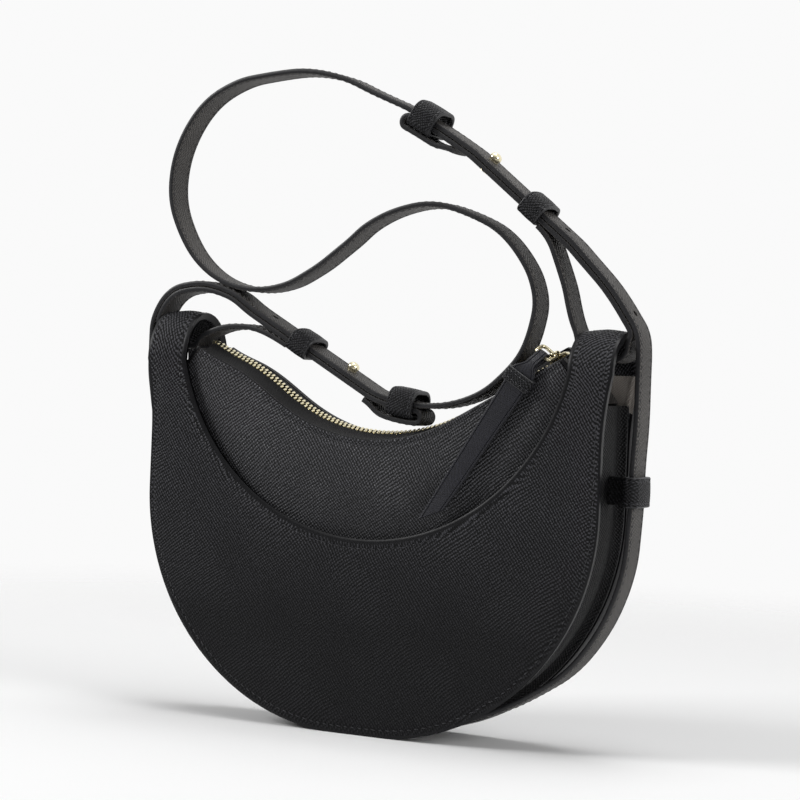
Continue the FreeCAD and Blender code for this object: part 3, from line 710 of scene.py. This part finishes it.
# Pouch ends: sloping leather walls from the zip's ends to the gusset, dished a little
endLook = {"half": 15.5, "thick": 1.8, "bevel": 0.3, "dish": 0.7, "top": (97.4, 182.2), "foot": (113.5, 162)}
endRun = shifted(straightRun(Vector(endLook["top"]), Vector(endLook["foot"])), 1)
acrossParts = [2 * part - 1 for part in evenParts(16)]
pouchEnds = []
for side, word in leftRight:
    rows = []
    for p, h in endRun:
        out = Vector((-h.y * side, 0, h.x))
        rows.append([Vector((p.x * side, endLook["half"] * k, p.y)) - out * endLook["dish"] * (1 - k ** 2)
                     for k in acrossParts])
    pouchEnd = wallPiece("pouchEnd" + word, endLook, rows, (beltLeather, edgePaint))
    pouchEnds.append(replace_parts(dress(pouchEnd, "grained_leather"), "pouch_end_" + word.lower()))
for piece in [pouchFront, pouchBack, pouchStitches] + pouchEnds:
    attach(piece, "bag")
print("pouch done")

# Zip tapes run from the teeth to the pouch walls and sag a little between
tapeLook = {"inner": 2.6, "outer": 14.0, "tuck": 1.2, "sag": 0.5, "thick": 0.7, "bevel": 0.15, "rows": 140,
            "columns": 12}
for face, word in frontBack:
    rows = []
    for p, h in evenly(zipRun, tapeLook["rows"]):
        first = besideZip(p, face * tapeLook["inner"])
        last = Vector((p.x, face * tapeLook["outer"], p.y - wallDrop(p.x, face) - tapeLook["tuck"]))
        rows.append([first.lerp(last, k) - Vector((0, 0, tapeLook["sag"] * sin(pi * k)))
                     for k in evenParts(tapeLook["columns"])])
    tape = wallPiece("zipTape" + word, tapeLook, rows, (tapeCloth,), rim=0)
    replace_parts(dress(tape, "zip_tape"), "zip_tape_" + word.lower())
    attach(tape, "bag")

# One zip tooth: a small block with a waist and rounded edges, copied along both rows
toothLook = {"size": (1.35, 2.4, 1.8), "bevel": 0.3, "pitch": 2.4, "off": 1.5, "waistHalf": 0.9, "waist": 0.8}
tooth = roundedBlock("tooth", toothLook["size"], (0, 0, 0), toothLook["bevel"], 1)
for corner in tooth.data.vertices:
    if abs(corner.co.y) < toothLook["waistHalf"] * mm:
        corner.co.x *= toothLook["waist"]
for face, word in frontBack:
    line = []
    for p, h in zipRun:
        lean = radians(leanLook["angle"]) * zipLean(p.x)
        line.append((besideZip(p, face * toothLook["off"]), normalTo(h) * cos(lean) - Vector((0, sin(lean), 0))))
    places = stitchPlaces(line, toothLook["pitch"])
    if face > 0:  # the back row stands in the gaps of the front row
        places = [(a + along * toothLook["pitch"] / 2, along, out) for a, along, out in places[:-1]]
    teeth = copiesOf(tooth, "zipTeeth" + word, places)
    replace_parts(dress(teeth, "gold_metal", goldPlate), "zip_teeth_" + word.lower())
    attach(teeth, "bag")
print("zip done")

# Belt route: middle line, x and z
beltRoute = {
    "leftRise": [(-132.5, 183), (-131, 198), (-122, 210.3), (-107.1, 214.5), (-88, 211.4), (-70, 200.8)],
    "loops": [(-6, 164.8), (5, 160.7), (20, 158.3), (32.1, 158.6), (44, 161.2), (55, 166.1), (65.1, 174.3),
              (73, 183.5), (78.4, 197), (80, 209), (77.5, 219.4), (71, 230.4), (60, 241.6), (45, 249.2),
              (24, 254.3), (6, 251.5), (-9, 245), (-23.1, 234.1), (-40, 222.2), (-56, 214.5), (-68, 212.3),
              (-82, 213.2), (-93.9, 217.1), (-107.1, 226.5), (-117, 240), (-123.4, 256.9), (-123, 274),
              (-117, 290.5), (-104.9, 305.6), (-88, 314.8), (-68, 318.5), (-46, 319.5), (-28, 316),
              (-8, 307.6), (12.1, 298.9), (26, 291.3), (38, 284), (48, 277.2)],
    "rightFall": [(95, 238.8), (106, 228.1), (117, 216.5), (126.3, 203.9), (130.3, 197.5), (132.5, 183)],
    "rightTail": [(28.1, 3.7), (53.8, 11.3), (70.2, 17.8), (86, 26.5), (101.3, 37.2), (117.1, 56.9), (127.8, 82.4),
                  (131.2, 112), (131.6, 134.1), (132.5, 154.2), (132.5, 175)],
    "leftTail": [(28.1, 3.7), (53.8, 11.3), (69.5, 18.9), (84.1, 28.6), (97.1, 40.6), (111.1, 60), (120.9, 84.1),
                 (124.4, 112), (125.9, 134.1), (129.9, 154.2), (132.5, 175)]}
leftRun, rightRun = flat(0.871816, -0.489834), flat(0.774443, -0.632644)  # headings of the two straights
riseLegs = smoothLegs(beltRoute["leftRise"], upward, leftRun)
loopLegs = smoothLegs(beltRoute["loops"], leftRun, rightRun)
fallLegs = smoothLegs(beltRoute["rightFall"], rightRun, downward)
leftStraight = straightRun(Vector(beltRoute["leftRise"][-1]), Vector(beltRoute["loops"][0]))
rightStraight = straightRun(Vector(beltRoute["loops"][-1]), Vector(beltRoute["rightFall"][0]))

# Belt leather: flat, edges painted, a dent along each row of stitches and a full middle
beltLook = {"half": 7.5, "thick": 2.5, "stitchIn": 1.7, "stitchSink": 0.05, "painted": 0.2,
            "edge": ((0, -0.55), (0.15, -0.2), (0.5, 0), (1.2, 0), (1.7, -0.12), (2.2, 0)),
            "middle": ((-3.375, 0.084), (0, 0.12)), "layer": 2.8, "sewn": 5.6, "fold": 8.6,
            "splitZ": 201, "pivotZ": 183, "tailTurn": 80, "side": 132.5}
strapRing = ringOf(beltLook["half"], beltLook["thick"] / 2, beltLook["edge"], beltLook["middle"])
strapPaint = edgeColumns(strapRing, beltLook["half"] - beltLook["painted"])


def strapPiece(name, run):
    rows = [[atDepth(p, y) + normalTo(h) * o for y, o in strapRing] for p, h in run]
    piece = layGrid(name, rows, (beltLeather, beltPaint), closed=True, paintCols=strapPaint)
    return dress(piece, "strap_leather")


def strapLines(run):
    reach = beltLook["half"] - beltLook["stitchIn"]
    proud = beltLook["thick"] / 2 - beltLook["stitchSink"]
    return [[(atDepth(p, y) + normalTo(h) * proud * out, normalTo(h) * out) for p, h in run]
            for out in (1, -1) for y in (reach, -reach)]


# The belt is split just above the horns: the main belt above, and a side piece on each side below
beltWhole = joined(*riseLegs, leftStraight, *loopLegs, rightStraight, *fallLegs)
above = [k for k, spot in enumerate(beltWhole) if spot[0].y > beltLook["splitZ"]]
mainRun = beltWhole[above[0]:above[-1] + 1]


def tailRun(points):
    turn = radians(beltLook["tailTurn"])
    legs = smoothLegs(points, flat(sin(turn), cos(turn)), upward)
    return joined(*legs, straightRun(Vector(points[-1]), flat(beltLook["side"], beltLook["pivotZ"])))


rightSide = joined(tailRun(beltRoute["rightTail"]), turnedBack(beltWhole[above[-1]:]))
leftSide = joined(mirrored(turnedBack(tailRun(beltRoute["leftTail"]))), beltWhole[:above[0] + 1])
mainBelt = strapPiece("mainBelt", mainRun)
beltHoles = {"radius": 1.6, "deep": 12, "spots": ((-64.37, 197.62, 0.490, 0.872), (-107.06, 214.5, -0.080, 0.997),
                                                  (91.33, 241.78, 0.633, 0.774), (126.27, 203.94, 0.834, 0.551))}
for x, z, nx, nz in beltHoles["spots"]:
    punch = newPiece("punch", bpy.ops.mesh.primitive_cylinder_add, vertices=20, radius=beltHoles["radius"] * mm,
                     depth=beltHoles["deep"] * mm)
    settle(punch, (x, 0, z), (nx, 0, nz))
    modify(mainBelt, "BOOLEAN", object=punch)
    bpy.data.objects.remove(punch)
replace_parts(mainBelt, "shoulder_strap")
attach(mainBelt, "strap")
beltStitches = stitchRows("beltStitches", strapLines(mainRun))
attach(beltStitches, "strap")
for (side, word), run in zip(leftRight, (leftSide, rightSide)):
    sideBelt = strapPiece("sideBelt" + word, run)
    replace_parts(sideBelt, "strap_tail_" + word.lower())
    sideStitches = stitchRows("sideStitches" + word, strapLines(run))
    for piece in (sideBelt, sideStitches):
        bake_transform(piece)
print("belt done")

# Loop straps: under the belt, round through the arch and back up, folded round the end ring
loopLook = {"out": 126.75, "in": 102.25, "top": 189, "turn": 6, "fineStep": 1, "foldStep": 0.7,
            "rightLeg": [(102.25, 189), (97.8, 203.9), (93.5, 219.0), (79.66, 244.09)],
            "leftLeg": [(108.25, 183), (101.5, 188.4), (93.0, 192.1), (79.0, 193.6), (53.17, 184.90)]}
outTop, inTop = flat(loopLook["out"], loopLook["top"]), flat(loopLook["in"], loopLook["top"])
outLow = flat(loopLook["out"] - loopLook["turn"], beltLook["pivotZ"])
inLow = flat(loopLook["in"] + loopLook["turn"], beltLook["pivotZ"])


def throughArch(start, heading):
    return joined(bendRun(start, heading, outTop, downward), arcRun(outTop, downward, outLow, loopLook["fineStep"]),
                  straightRun(outLow, inLow))


def foldRun(start, end):
    return arcRun(*start, end[0], loopLook["foldStep"])


rightUnder = shifted(joined(*loopLegs[-3:], rightStraight, *fallLegs[:-1]), -beltLook["layer"])
rightBelow = shifted(loopLegs[-3], -beltLook["fold"])
rightEnd = shifted(loopLegs[-2], -beltLook["sewn"])[-1]
rightBack = turnedBack(joined(rightBelow, bendRun(*rightBelow[-1], *rightEnd)))
rightLeg = joined(arcRun(inLow, leftward, inTop, loopLook["fineStep"]),
                  *smoothLegs(loopLook["rightLeg"], upward, -rightRun))
loopRightRun = joined(rightBack, foldRun(rightBack[-1], rightUnder[0]), rightUnder, throughArch(*rightUnder[-1]),
                      rightLeg)
leftUnder = shifted(joined(*riseLegs[1:], leftStraight, *loopLegs[:2]), -beltLook["layer"])
leftBelow = turnedBack(shifted(loopLegs[1], -beltLook["fold"]))
leftEnd = turnedBack(shifted(leftStraight, -beltLook["sewn"]))[0]
leftBack = joined(leftBelow, bendRun(*leftBelow[-1], *leftEnd))
leftStart, leftHeading = leftUnder[0]
leftThrough = throughArch(flat(-leftStart.x, leftStart.y), flat(leftHeading.x, -leftHeading.y))
leftLeg = joined(*smoothLegs(loopLook["leftLeg"], leftward, flat(-leftRun.x, leftRun.y)))
loopLeftRun = joined(mirrored(joined(leftThrough, leftLeg)), leftUnder, foldRun(leftUnder[-1], leftBack[0]), leftBack)
for (side, word), run in zip(leftRight, (loopLeftRun, loopRightRun)):
    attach(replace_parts(strapPiece("loopStrap" + word, run), "loop_strap_" + word.lower()), "strap")
loopStitches = stitchRows("loopStitches", strapLines(loopLeftRun) + strapLines(loopRightRun))
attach(loopStitches, "strap")
print("loop straps done")


# Leather bands round the straps: end rings, sliding keepers, side keepers and the pull's wrap
def roundLoop(half, low, high, lowRadius, highRadius):
    corners = [(half, low, 1, -1, lowRadius), (half, high, 1, 1, highRadius), (-half, high, -1, 1, highRadius),
               (-half, low, -1, -1, lowRadius)]
    centres = [Vector((y - sy * radius, z - sz * radius)) for y, z, sy, sz, radius in corners]
    loop = []
    for k, (y, z, sy, sz, radius) in enumerate(corners):
        first = atan2(sz, sy) - pi / 4
        for step in range(9):
            angle = first + pi / 2 * step / 8
            out = Vector((cos(angle), sin(angle)))
            loop.append((centres[k] + out * radius, out))
        goal = centres[(k + 1) % 4] + out * corners[(k + 1) % 4][4]
        start = loop[-1][0]
        loop += [(start.lerp(goal, part / 6), out) for part in range(1, 6)]
    return loop + loop[:1]


bandLook = {"edge": ((0, -0.6), (0.2, -0.2), (0.6, 0), (1.5, 0), (2, -0.25), (2.5, 0)), "fullFrom": 0.8,
            "crown": (0.1, 0.15), "painted": 0.7, "grooves": (4, 10), "top": 7, "under": -9}  # last three: columns


def bandPiece(name, look, place, normal, ahead=None, across=Vector((0, 1, 0)), slotName="strap_leather"):
    wall, long = look["wall"] / 2, look["length"] / 2
    loop = roundLoop(look["inner"] / 2 + wall, look["low"] - wall, look["high"] + wall, *look["corners"])
    middle = ((bandLook["fullFrom"] - long / 2, bandLook["crown"][0]), (0, bandLook["crown"][1]))
    ring = ringOf(long, wall, bandLook["edge"], middle, wall)
    ahead = ahead or aheadOf(normal)
    rows = []
    for p, out in loop:
        full = look["full"] * (1 - (2 * p.x / look["inner"]) ** 2) if p.y > 0 else 0
        centre = place + across * p.x + normal * (p.y + max(0, full))
        outward = across * out.x + normal * out.y
        rows.append([centre + ahead * x + outward * o for x, o in ring])
    paint = edgeColumns(ring, long - bandLook["painted"])
    piece = layGrid(name, rows, (bandLeather, beltPaint), closed=True, paintCols=paint)
    lines = [[(row[k], (row[bandLook["top"]] - row[bandLook["under"]]).normalized()) for row in rows]
             for k in bandLook["grooves"]]
    return dress(piece, slotName), stitchRows(name + "Stitches", lines, stitchLook["bandPitch"])


ringLook = {"length": 14, "inner": 16.4, "low": -4.75, "high": 4.75, "wall": 2.0, "corners": (2.4, 5.2), "full": 0.3}
keeperLook = {"length": 12, "inner": 15.8, "low": -4.45, "high": 2.4, "wall": 2.0, "corners": (2.4, 3.2), "full": 1.0}
sideLook = {"length": 14, "inner": 15.8, "low": -1.65, "high": 1.65, "wall": 2.0, "corners": (1.8, 2.0), "full": 0.6}
bands = [("endRingLeft", ringLook, (12.4547, 0, 159.0943), (0.164797, 0, 0.986328), "strap", "end_ring_left"),
         ("endRingRight", ringLook, (19.0723, 0, 295.2036), (0.492569, 0, 0.870273), "strap", "end_ring_right"),
         ("keeperLeft", keeperLook, (-44.3224, 0, 186.3504), normalTo(leftRun), "keeper_left", "sliding_keeper_left"),
         ("keeperRight", keeperLook, (77.7811, 0, 252.8507), normalTo(rightRun), "keeper_right",
          "sliding_keeper_right"),
         ("sideKeeperLeft", sideLook, (-125.0377, 0, 123.0378), (-0.999756, 0, -0.022067), "bag", "side_keeper_left"),
         ("sideKeeperRight", sideLook, (131.476, 0, 123.0215), (0.999955, 0, 0.009471), "bag", "side_keeper_right")]
for name, look, place, normal, body, node in bands:
    band, bandStitches = bandPiece(name, look, Vector(place), Vector(normal))
    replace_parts(band, node)
    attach(band, body)
    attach(bandStitches, body)

# Tabs that hold the side keepers to the gusset
tabLook = {"deep": 7.5, "back": 3.5, "tall": 13, "level": 123, "inner": 115.5, "outer": (121.8, 128.0), "waist": 0.8,
           "bevel": 1.2, "grainSize": 0.05}
for (side, word), outer in zip(leftRight, tabLook["outer"]):
    long = outer - tabLook["inner"]
    tab = roundedBlock("sideTab" + word, (long, tabLook["deep"], tabLook["tall"]), (0, 0, 0), tabLook["bevel"], 3)
    reshape(tab, (bpy.ops.mesh.subdivide, {"number_cuts": 3}))
    for corner in tab.data.vertices:
        corner.co.y *= 1 - (1 - tabLook["waist"]) * cos(corner.co.x / (long * mm) * pi) ** 2
    settle(tab, (side * (outer + tabLook["inner"]) / 2, tabLook["back"], tabLook["level"]))
    for spot in tab.data.uv_layers.active.data:  # a cube's UVs brought to the grids' scale
        spot.uv *= tabLook["grainSize"]
    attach(dress(tab, "grained_leather", bagLeather), "bag")
print("bands done")

# Studs: flattened gold balls on a collar, with a neck through the straps
studLook = {"radius": 3.0, "flatten": 0.78, "rise": 1.25, "sink": 0.3,
            "neck": (1.5, 7.6, -1.2), "collar": (2.4, 0.7, 1.55)}  # radius, height and level
for word, place, normal in (("Left", (-19.9116, 0, 172.6351), normalTo(leftRun)),
                            ("Right", (51.8372, 0, 274.0443), normalTo(rightRun))):
    stud = newPiece("stud" + word, bpy.ops.mesh.primitive_uv_sphere_add, segments=32, ring_count=20,
                    radius=studLook["radius"] * mm)
    lift = studLook["rise"] + studLook["radius"] * studLook["flatten"] - studLook["sink"]
    reshape(stud, (bpy.ops.transform.resize, {"value": (1, 1, studLook["flatten"])}),
            (bpy.ops.transform.translate, {"value": (0, 0, lift * mm)}))
    for part, sides in (("neck", 24), ("collar", 28)):
        radius, tall, level = studLook[part]
        rod = newPiece(part, bpy.ops.mesh.primitive_cylinder_add, vertices=sides, radius=radius * mm, depth=tall * mm)
        settle(rod, (0, 0, level))
        joinPieces(stud, rod)
    settle(stud, place, normal)
    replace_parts(dress(stud, "gold_metal", goldPlate), "stud_" + word.lower())
    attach(stud, "strap")

# Zip slider: two rounded plates on a web, with an eye standing in front for the bail
sliderLook = {"place": (91.5831, 0, 181.9838), "out": (-0.486488, 0, 0.873687), "narrow": 0.22,
              "blocks": (("zipSlider", (9, 7.4, 1.5), (0, 0, 1.8), 0.55, 3),
                         ("bottom", (9, 6.2, 1.4), (0, 0, -1.8), 0.5, 2),
                         ("web", (4.5, 0.4, 2.6), (0, 0, 0), 0.1, 1),
                         ("neck", (3.4, 3.6, 1.2), (0, -2.6, 3.0), 0.4, 2)),
              "eye": 2.35, "eyeWire": 0.65, "eyeAt": (0, -5.4, 3.2)}
slider, *sliderParts = [roundedBlock(*block) for block in sliderLook["blocks"]]
sliderHalf = sliderLook["blocks"][0][1][0] / 2 * mm
for corner in slider.data.vertices:  # the top plate narrows to its nose
    corner.co.y *= 1 - sliderLook["narrow"] * max(0, corner.co.x / sliderHalf) ** 2
sliderEye = newPiece("eye", bpy.ops.mesh.primitive_torus_add, major_radius=sliderLook["eye"] * mm,
                     minor_radius=sliderLook["eyeWire"] * mm, major_segments=28, minor_segments=10)
settle(sliderEye, sliderLook["eyeAt"])
joinPieces(slider, *sliderParts, sliderEye)
settle(slider, sliderLook["place"], sliderLook["out"])
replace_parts(dress(slider, "gold_metal", goldPlate), "zip_slider")
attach(slider, "zip_slider")

# Bail: a round wire bent to a rounded rectangle
bailLook = {"place": (88.2465, -5.4, 186.0727), "down": (-0.262866, -0.894427, -0.361803),
            "across": (0.809017, 0, -0.587785), "half": (3.1, 4.4), "wire": 0.95, "round": 4, "square": 5}
bail = newPiece("zipBail", bpy.ops.mesh.primitive_torus_add, major_radius=bailLook["round"] * mm,
                minor_radius=bailLook["wire"] * mm, major_segments=48, minor_segments=10)
power = bailLook["square"]
for corner in bail.data.vertices:
    angle = atan2(corner.co.y, corner.co.x)
    off = (corner.co.x ** 2 + corner.co.y ** 2) ** 0.5 - bailLook["round"] * mm
    reach = (abs(cos(angle)) ** power + abs(sin(angle)) ** power) ** (-1 / power)
    corner.co.x = cos(angle) * (reach * bailLook["half"][0] * mm + off)
    corner.co.y = sin(angle) * (reach * bailLook["half"][1] * mm + off)
bailDown, bailAcross = Vector(bailLook["down"]), Vector(bailLook["across"])
bailMiddle = Vector(bailLook["place"]) + bailDown * bailLook["half"][0]
settle(bail, bailMiddle, bailDown.cross(bailAcross), bailDown, bailAcross)
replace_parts(dress(bail, "gold_metal", goldPlate), "zip_bail")
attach(bail, "zip_slider")

# Pull: one strip of leather folded round the bail, both layers running down to a slanted tip
pullLook = {"at": (86.6168, -10.9454, 183.8295), "down": (-0.537300, 0, -0.843391), "across": (0.843391, 0, -0.537300),
            "out": (0, -1, 0), "length": 95.5, "slant": 11, "slantFrom": 70, "width": 12, "tip": 8, "neck": 5,
            "widens": (4.5, 10), "layer": 1.2, "apart": 0.02, "foot": 10, "standOut": 8.355, "tipOut": 2.95,
            "lean": 0.03455, "wrapAt": 13.6, "painted": 0.15, "crown": (0.05, 0.08), "full": 0.4,
            "edge": ((0, -0.35), (0.12, -0.1), (0.4, 0), (0.85, 0), (1.15, -0.4), (1.45, 0)),
            "bight": ((6.3, 6.0), (4.0, 2.6), (1.62, -0.83), (-0.95, -1.55), (-1.6, 0.87), (1.3, 4.3), (4.3, 7.2))}
pullAt, pullDown, pullAcross, pullOut = (Vector(pullLook[k]) for k in ("at", "down", "across", "out"))
bladeHead = flat(pullLook["foot"], pullLook["standOut"])
bladeTip = flat(pullLook["length"], pullLook["standOut"] + pullLook["tipOut"])
bladeHeading = (bladeTip - bladeHead).normalized()
halfLayer = flat(-bladeHeading.y, bladeHeading.x) * (pullLook["layer"] / 2 + pullLook["apart"])
frontBlade = straightRun(bladeHead + halfLayer, bladeTip + halfLayer)
backBlade = straightRun(bladeTip - halfLayer, bladeHead - halfLayer)
bight = smoothLegs([backBlade[-1][0], *pullLook["bight"], frontBlade[0][0]], -bladeHeading, bladeHeading)
pullRun = joined(backBlade, *bight, frontBlade)


def pullProfile(p):  # across, out and along, for the slanted tip
    width = pullLook["neck"] + (pullLook["width"] - pullLook["neck"]) * ease(p.x, *pullLook["widens"])
    down = max(0, (p.x - pullLook["foot"]) / (pullLook["length"] - pullLook["foot"]))
    width -= (pullLook["width"] - pullLook["tip"]) * down
    half, face = width / 2, pullLook["layer"] / 2
    middle = ((-half * pullLook["full"], pullLook["crown"][0]), (0, pullLook["crown"][1]))
    cut = max(0, (p.x - pullLook["slantFrom"]) / (pullLook["length"] - pullLook["slantFrom"]))
    return [(y, o, -pullLook["slant"] * cut * (y + half) / width)
            for y, o in ringOf(half, face, pullLook["edge"], middle, face)]


pullRows = []
for k, (p, h) in enumerate(pullRun):
    onward, outward = pullDown * h.x + pullOut * h.y, pullDown * -h.y + pullOut * h.x
    tipward = -onward if k < len(backBlade) else onward
    base = pullAt + pullDown * p.x + pullOut * p.y
    pullRows.append([base + pullAcross * y + outward * o + tipward * a for y, o, a in pullProfile(p)])
pullRing = pullProfile(bladeHead)
pullPaint = edgeColumns(pullRing, max(r[0] for r in pullRing) - pullLook["painted"])
pull = layGrid("zipPull", pullRows, (pullLeather, beltPaint), closed=True, paintCols=pullPaint)
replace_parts(dress(pull, "pull_leather"), "zip_pull_leather")
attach(pull, "zip_pull")
wrapLook = {"length": 7, "inner": 12.4, "low": -1.4, "high": 1.4, "wall": 1.5, "corners": (1.5, 1.7), "full": 0.4}
wrapOut = (pullOut - pullDown * pullLook["lean"]).normalized()
wrapStand = pullLook["standOut"] + (pullLook["wrapAt"] - pullLook["foot"]) * pullLook["lean"]
wrap, wrapStitches = bandPiece("pullWrap", wrapLook, pullAt + pullDown * pullLook["wrapAt"] + pullOut * wrapStand,
                               wrapOut, pullAcross.cross(wrapOut), pullAcross, "pull_leather")
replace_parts(wrap, "zip_pull_wrap")
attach(wrap, "zip_pull")
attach(wrapStitches, "zip_pull")
print("zip pull done")

# Lining: twill sheets inside the pouch, loose enough to ripple
liningLook = {"mid": 13.5, "thick": 0.6, "bevel": 0.1, "inset": 8.4, "top": 161, "drop": 5.2, "ripple": 0.15,
              "rippleScale": 0.06, "rows": 60, "columns": 24}


def liningPiece(name, rows, node, spread=None):
    piece = wallPiece(name, liningLook, rows, (liningCloth,), spread, rim=0)
    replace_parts(dress(piece, "lining_cloth"), node)
    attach(piece, "bag")
    return piece


for face, word in frontBack:
    rows = []
    for (top, h), (foot, g) in zip(evenly(zipRun, liningLook["rows"]), bellyRun(liningLook)):
        top = top - flat(0, liningLook["drop"])
        row = []
        for part in evenParts(liningLook["columns"]):
            spot = top.lerp(foot, part)
            ripple = liningLook["ripple"] * noise.noise(Vector((spot.x, spot.y, face)) * liningLook["rippleScale"])
            row.append(atDepth(spot, face * (liningLook["mid"] + ripple)))
        rows.append(row)
    lining = liningPiece("lining" + word, rows, "lining_" + word.lower(), seenFlat(rows))
    reach = [max(p[k] for row in rows for p in row) - min(p[k] for row in rows for p in row) for k in (0, 2)]
liningBandLook = {"half": 13, "inset": 9.4, "top": 157, "rows": 120, "ripple": 0.1, "rippleStep": 0.9}
bandRun, rows = bellyRun(liningBandLook), []
for k, (p, h) in enumerate(bandRun):
    ripple = normalTo(h) * liningBandLook["ripple"] * sin(k * liningBandLook["rippleStep"])
    rows.append([atDepth(p, liningBandLook["half"] * part) + ripple for part in acrossParts])
liningBand = liningPiece("liningBand", rows, "lining_band")
pocketLook = {"half": 55, "low": 45, "tall": 65, "mid": 12.75, "slack": 0.3, "across": 20, "up": 14}
rows = [[Vector((pocketLook["half"] * (2 * x - 1), pocketLook["mid"] - pocketLook["slack"] * sin(pi * z) * sin(pi * x),
                 pocketLook["low"] + pocketLook["tall"] * z)) for z in evenParts(pocketLook["up"])]
        for x in evenParts(pocketLook["across"])]
pocket = liningPiece("innerPocket", rows, "inner_pocket")

# CAD nodes that stay: stops, screws and the base board
for node, finish in (("zip_stops", goldPlate), ("stud_screws", goldPlate), ("base_board", fibreBoard)):
    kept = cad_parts[node]
    kept.data.materials.clear()
    kept.data.materials.append(finish)
bpy.data.objects.remove(stitch)
bpy.data.objects.remove(tooth)
print("lining and kept nodes done")

# Floor: matt white card, faintly uneven, fading out some way from the bag
stageLook = {"low": "#f4f4f4", "high": "#f8f8f8", "size": 8, "grain": 900, "fade": {"From Min": 0.34, "From Max": 0.9}}
floor = newPiece("floor", bpy.ops.mesh.primitive_plane_add, size=stageLook["size"])
card, tree, shader = newFinish("matt_white_card", {"Roughness": 0.9, "Specular IOR Level": 0.1})
spot = addNode(tree, "TexCoord", {})
grain = addNode(tree, "TexNoise", {"Vector": spot.outputs["Object"], "Scale": stageLook["grain"]})
colour = addNode(tree, "MixRGB", {"Fac": grain, "Color1": linearColour(stageLook["low"]),
                                  "Color2": linearColour(stageLook["high"])})
tree.links.new(colour.outputs[0], shader.inputs["Base Color"])
reach = addNode(tree, "VectorMath", {0: spot.outputs["Object"]}, operation="LENGTH")
fade = addNode(tree, "MapRange", {"Value": reach.outputs["Value"], **stageLook["fade"]},
               interpolation_type="SMOOTHSTEP")
clear = addNode(tree, "BsdfTransparent", {})
mix = addNode(tree, "MixShader", {0: fade, 1: shader, 2: clear})
tree.links.new(mix.outputs[0], tree.nodes["Material Output"].inputs["Surface"])
floor.data.materials.append(card)

# White all round for the camera; in gloss the room is white behind and above and dim on the camera's side
roomLook = {"ambient": 0.19, "white": 0.955, "behind": {"From Min": -0.3, "From Max": 0.5, "To Min": 0.1},
            "above": {"From Min": 0.3, "From Max": 0.9}}
world = bpy.data.worlds.new("studio")
bpy.context.scene.world = world
world.use_nodes = True
tree = world.node_tree
tree.nodes.clear()
rays = addNode(tree, "LightPath", {}).outputs
towards = addNode(tree, "TexCoord", {})
ways = addNode(tree, "SeparateXYZ", {"Vector": towards.outputs["Generated"]}).outputs
behind = addNode(tree, "MapRange", {"Value": ways["Y"], **roomLook["behind"]})
above = addNode(tree, "MapRange", {"Value": ways["Z"], **roomLook["above"]})
room = addNode(tree, "Math", {0: behind, 1: above}, operation="MAXIMUM")
whole = addNode(tree, "Math", {0: room, 1: rays["Is Camera Ray"]}, operation="MAXIMUM")
white = addNode(tree, "Math", {0: whole, 1: roomLook["white"]}, operation="MULTIPLY")
seen = addNode(tree, "Math", {0: rays["Is Camera Ray"], 1: rays["Is Glossy Ray"]}, operation="MAXIMUM")
shown = addNode(tree, "Math", {0: seen, 1: rays["Is Transmission Ray"]}, operation="MAXIMUM")
ambient = addNode(tree, "Background", {"Color": (1, 1, 1, 1), "Strength": roomLook["ambient"]})
backdrop = addNode(tree, "Background", {"Color": white, "Strength": 1.0})
pick = addNode(tree, "MixShader", {0: shown, 1: ambient, 2: backdrop})
addNode(tree, "OutputWorld", {"Surface": pick})

# Three square lamps aimed at the bag: place, size in metres and power in watts
lampLook = {"leftKey": ((-1.8, -1.2, 1.4), 0.9, 36), "rightSide": ((1.9, -0.5, 0.9), 1.0, 21),
            "top": ((0.1, 0.2, 2.2), 1.1, 21)}
lampAim = Vector((0, 0, 0.14))
for name, (place, size, power) in lampLook.items():
    lamp = newPiece(name, bpy.ops.object.light_add, type="AREA", location=place)
    lamp.data.shape = "SQUARE"
    lamp.data.size = size
    lamp.data.energy = power
    lamp.rotation_euler = (lampAim - Vector(place)).to_track_quat("-Z", "Y").to_euler()
bpy.context.scene.view_settings.view_transform = "Standard"
print("stage ready")
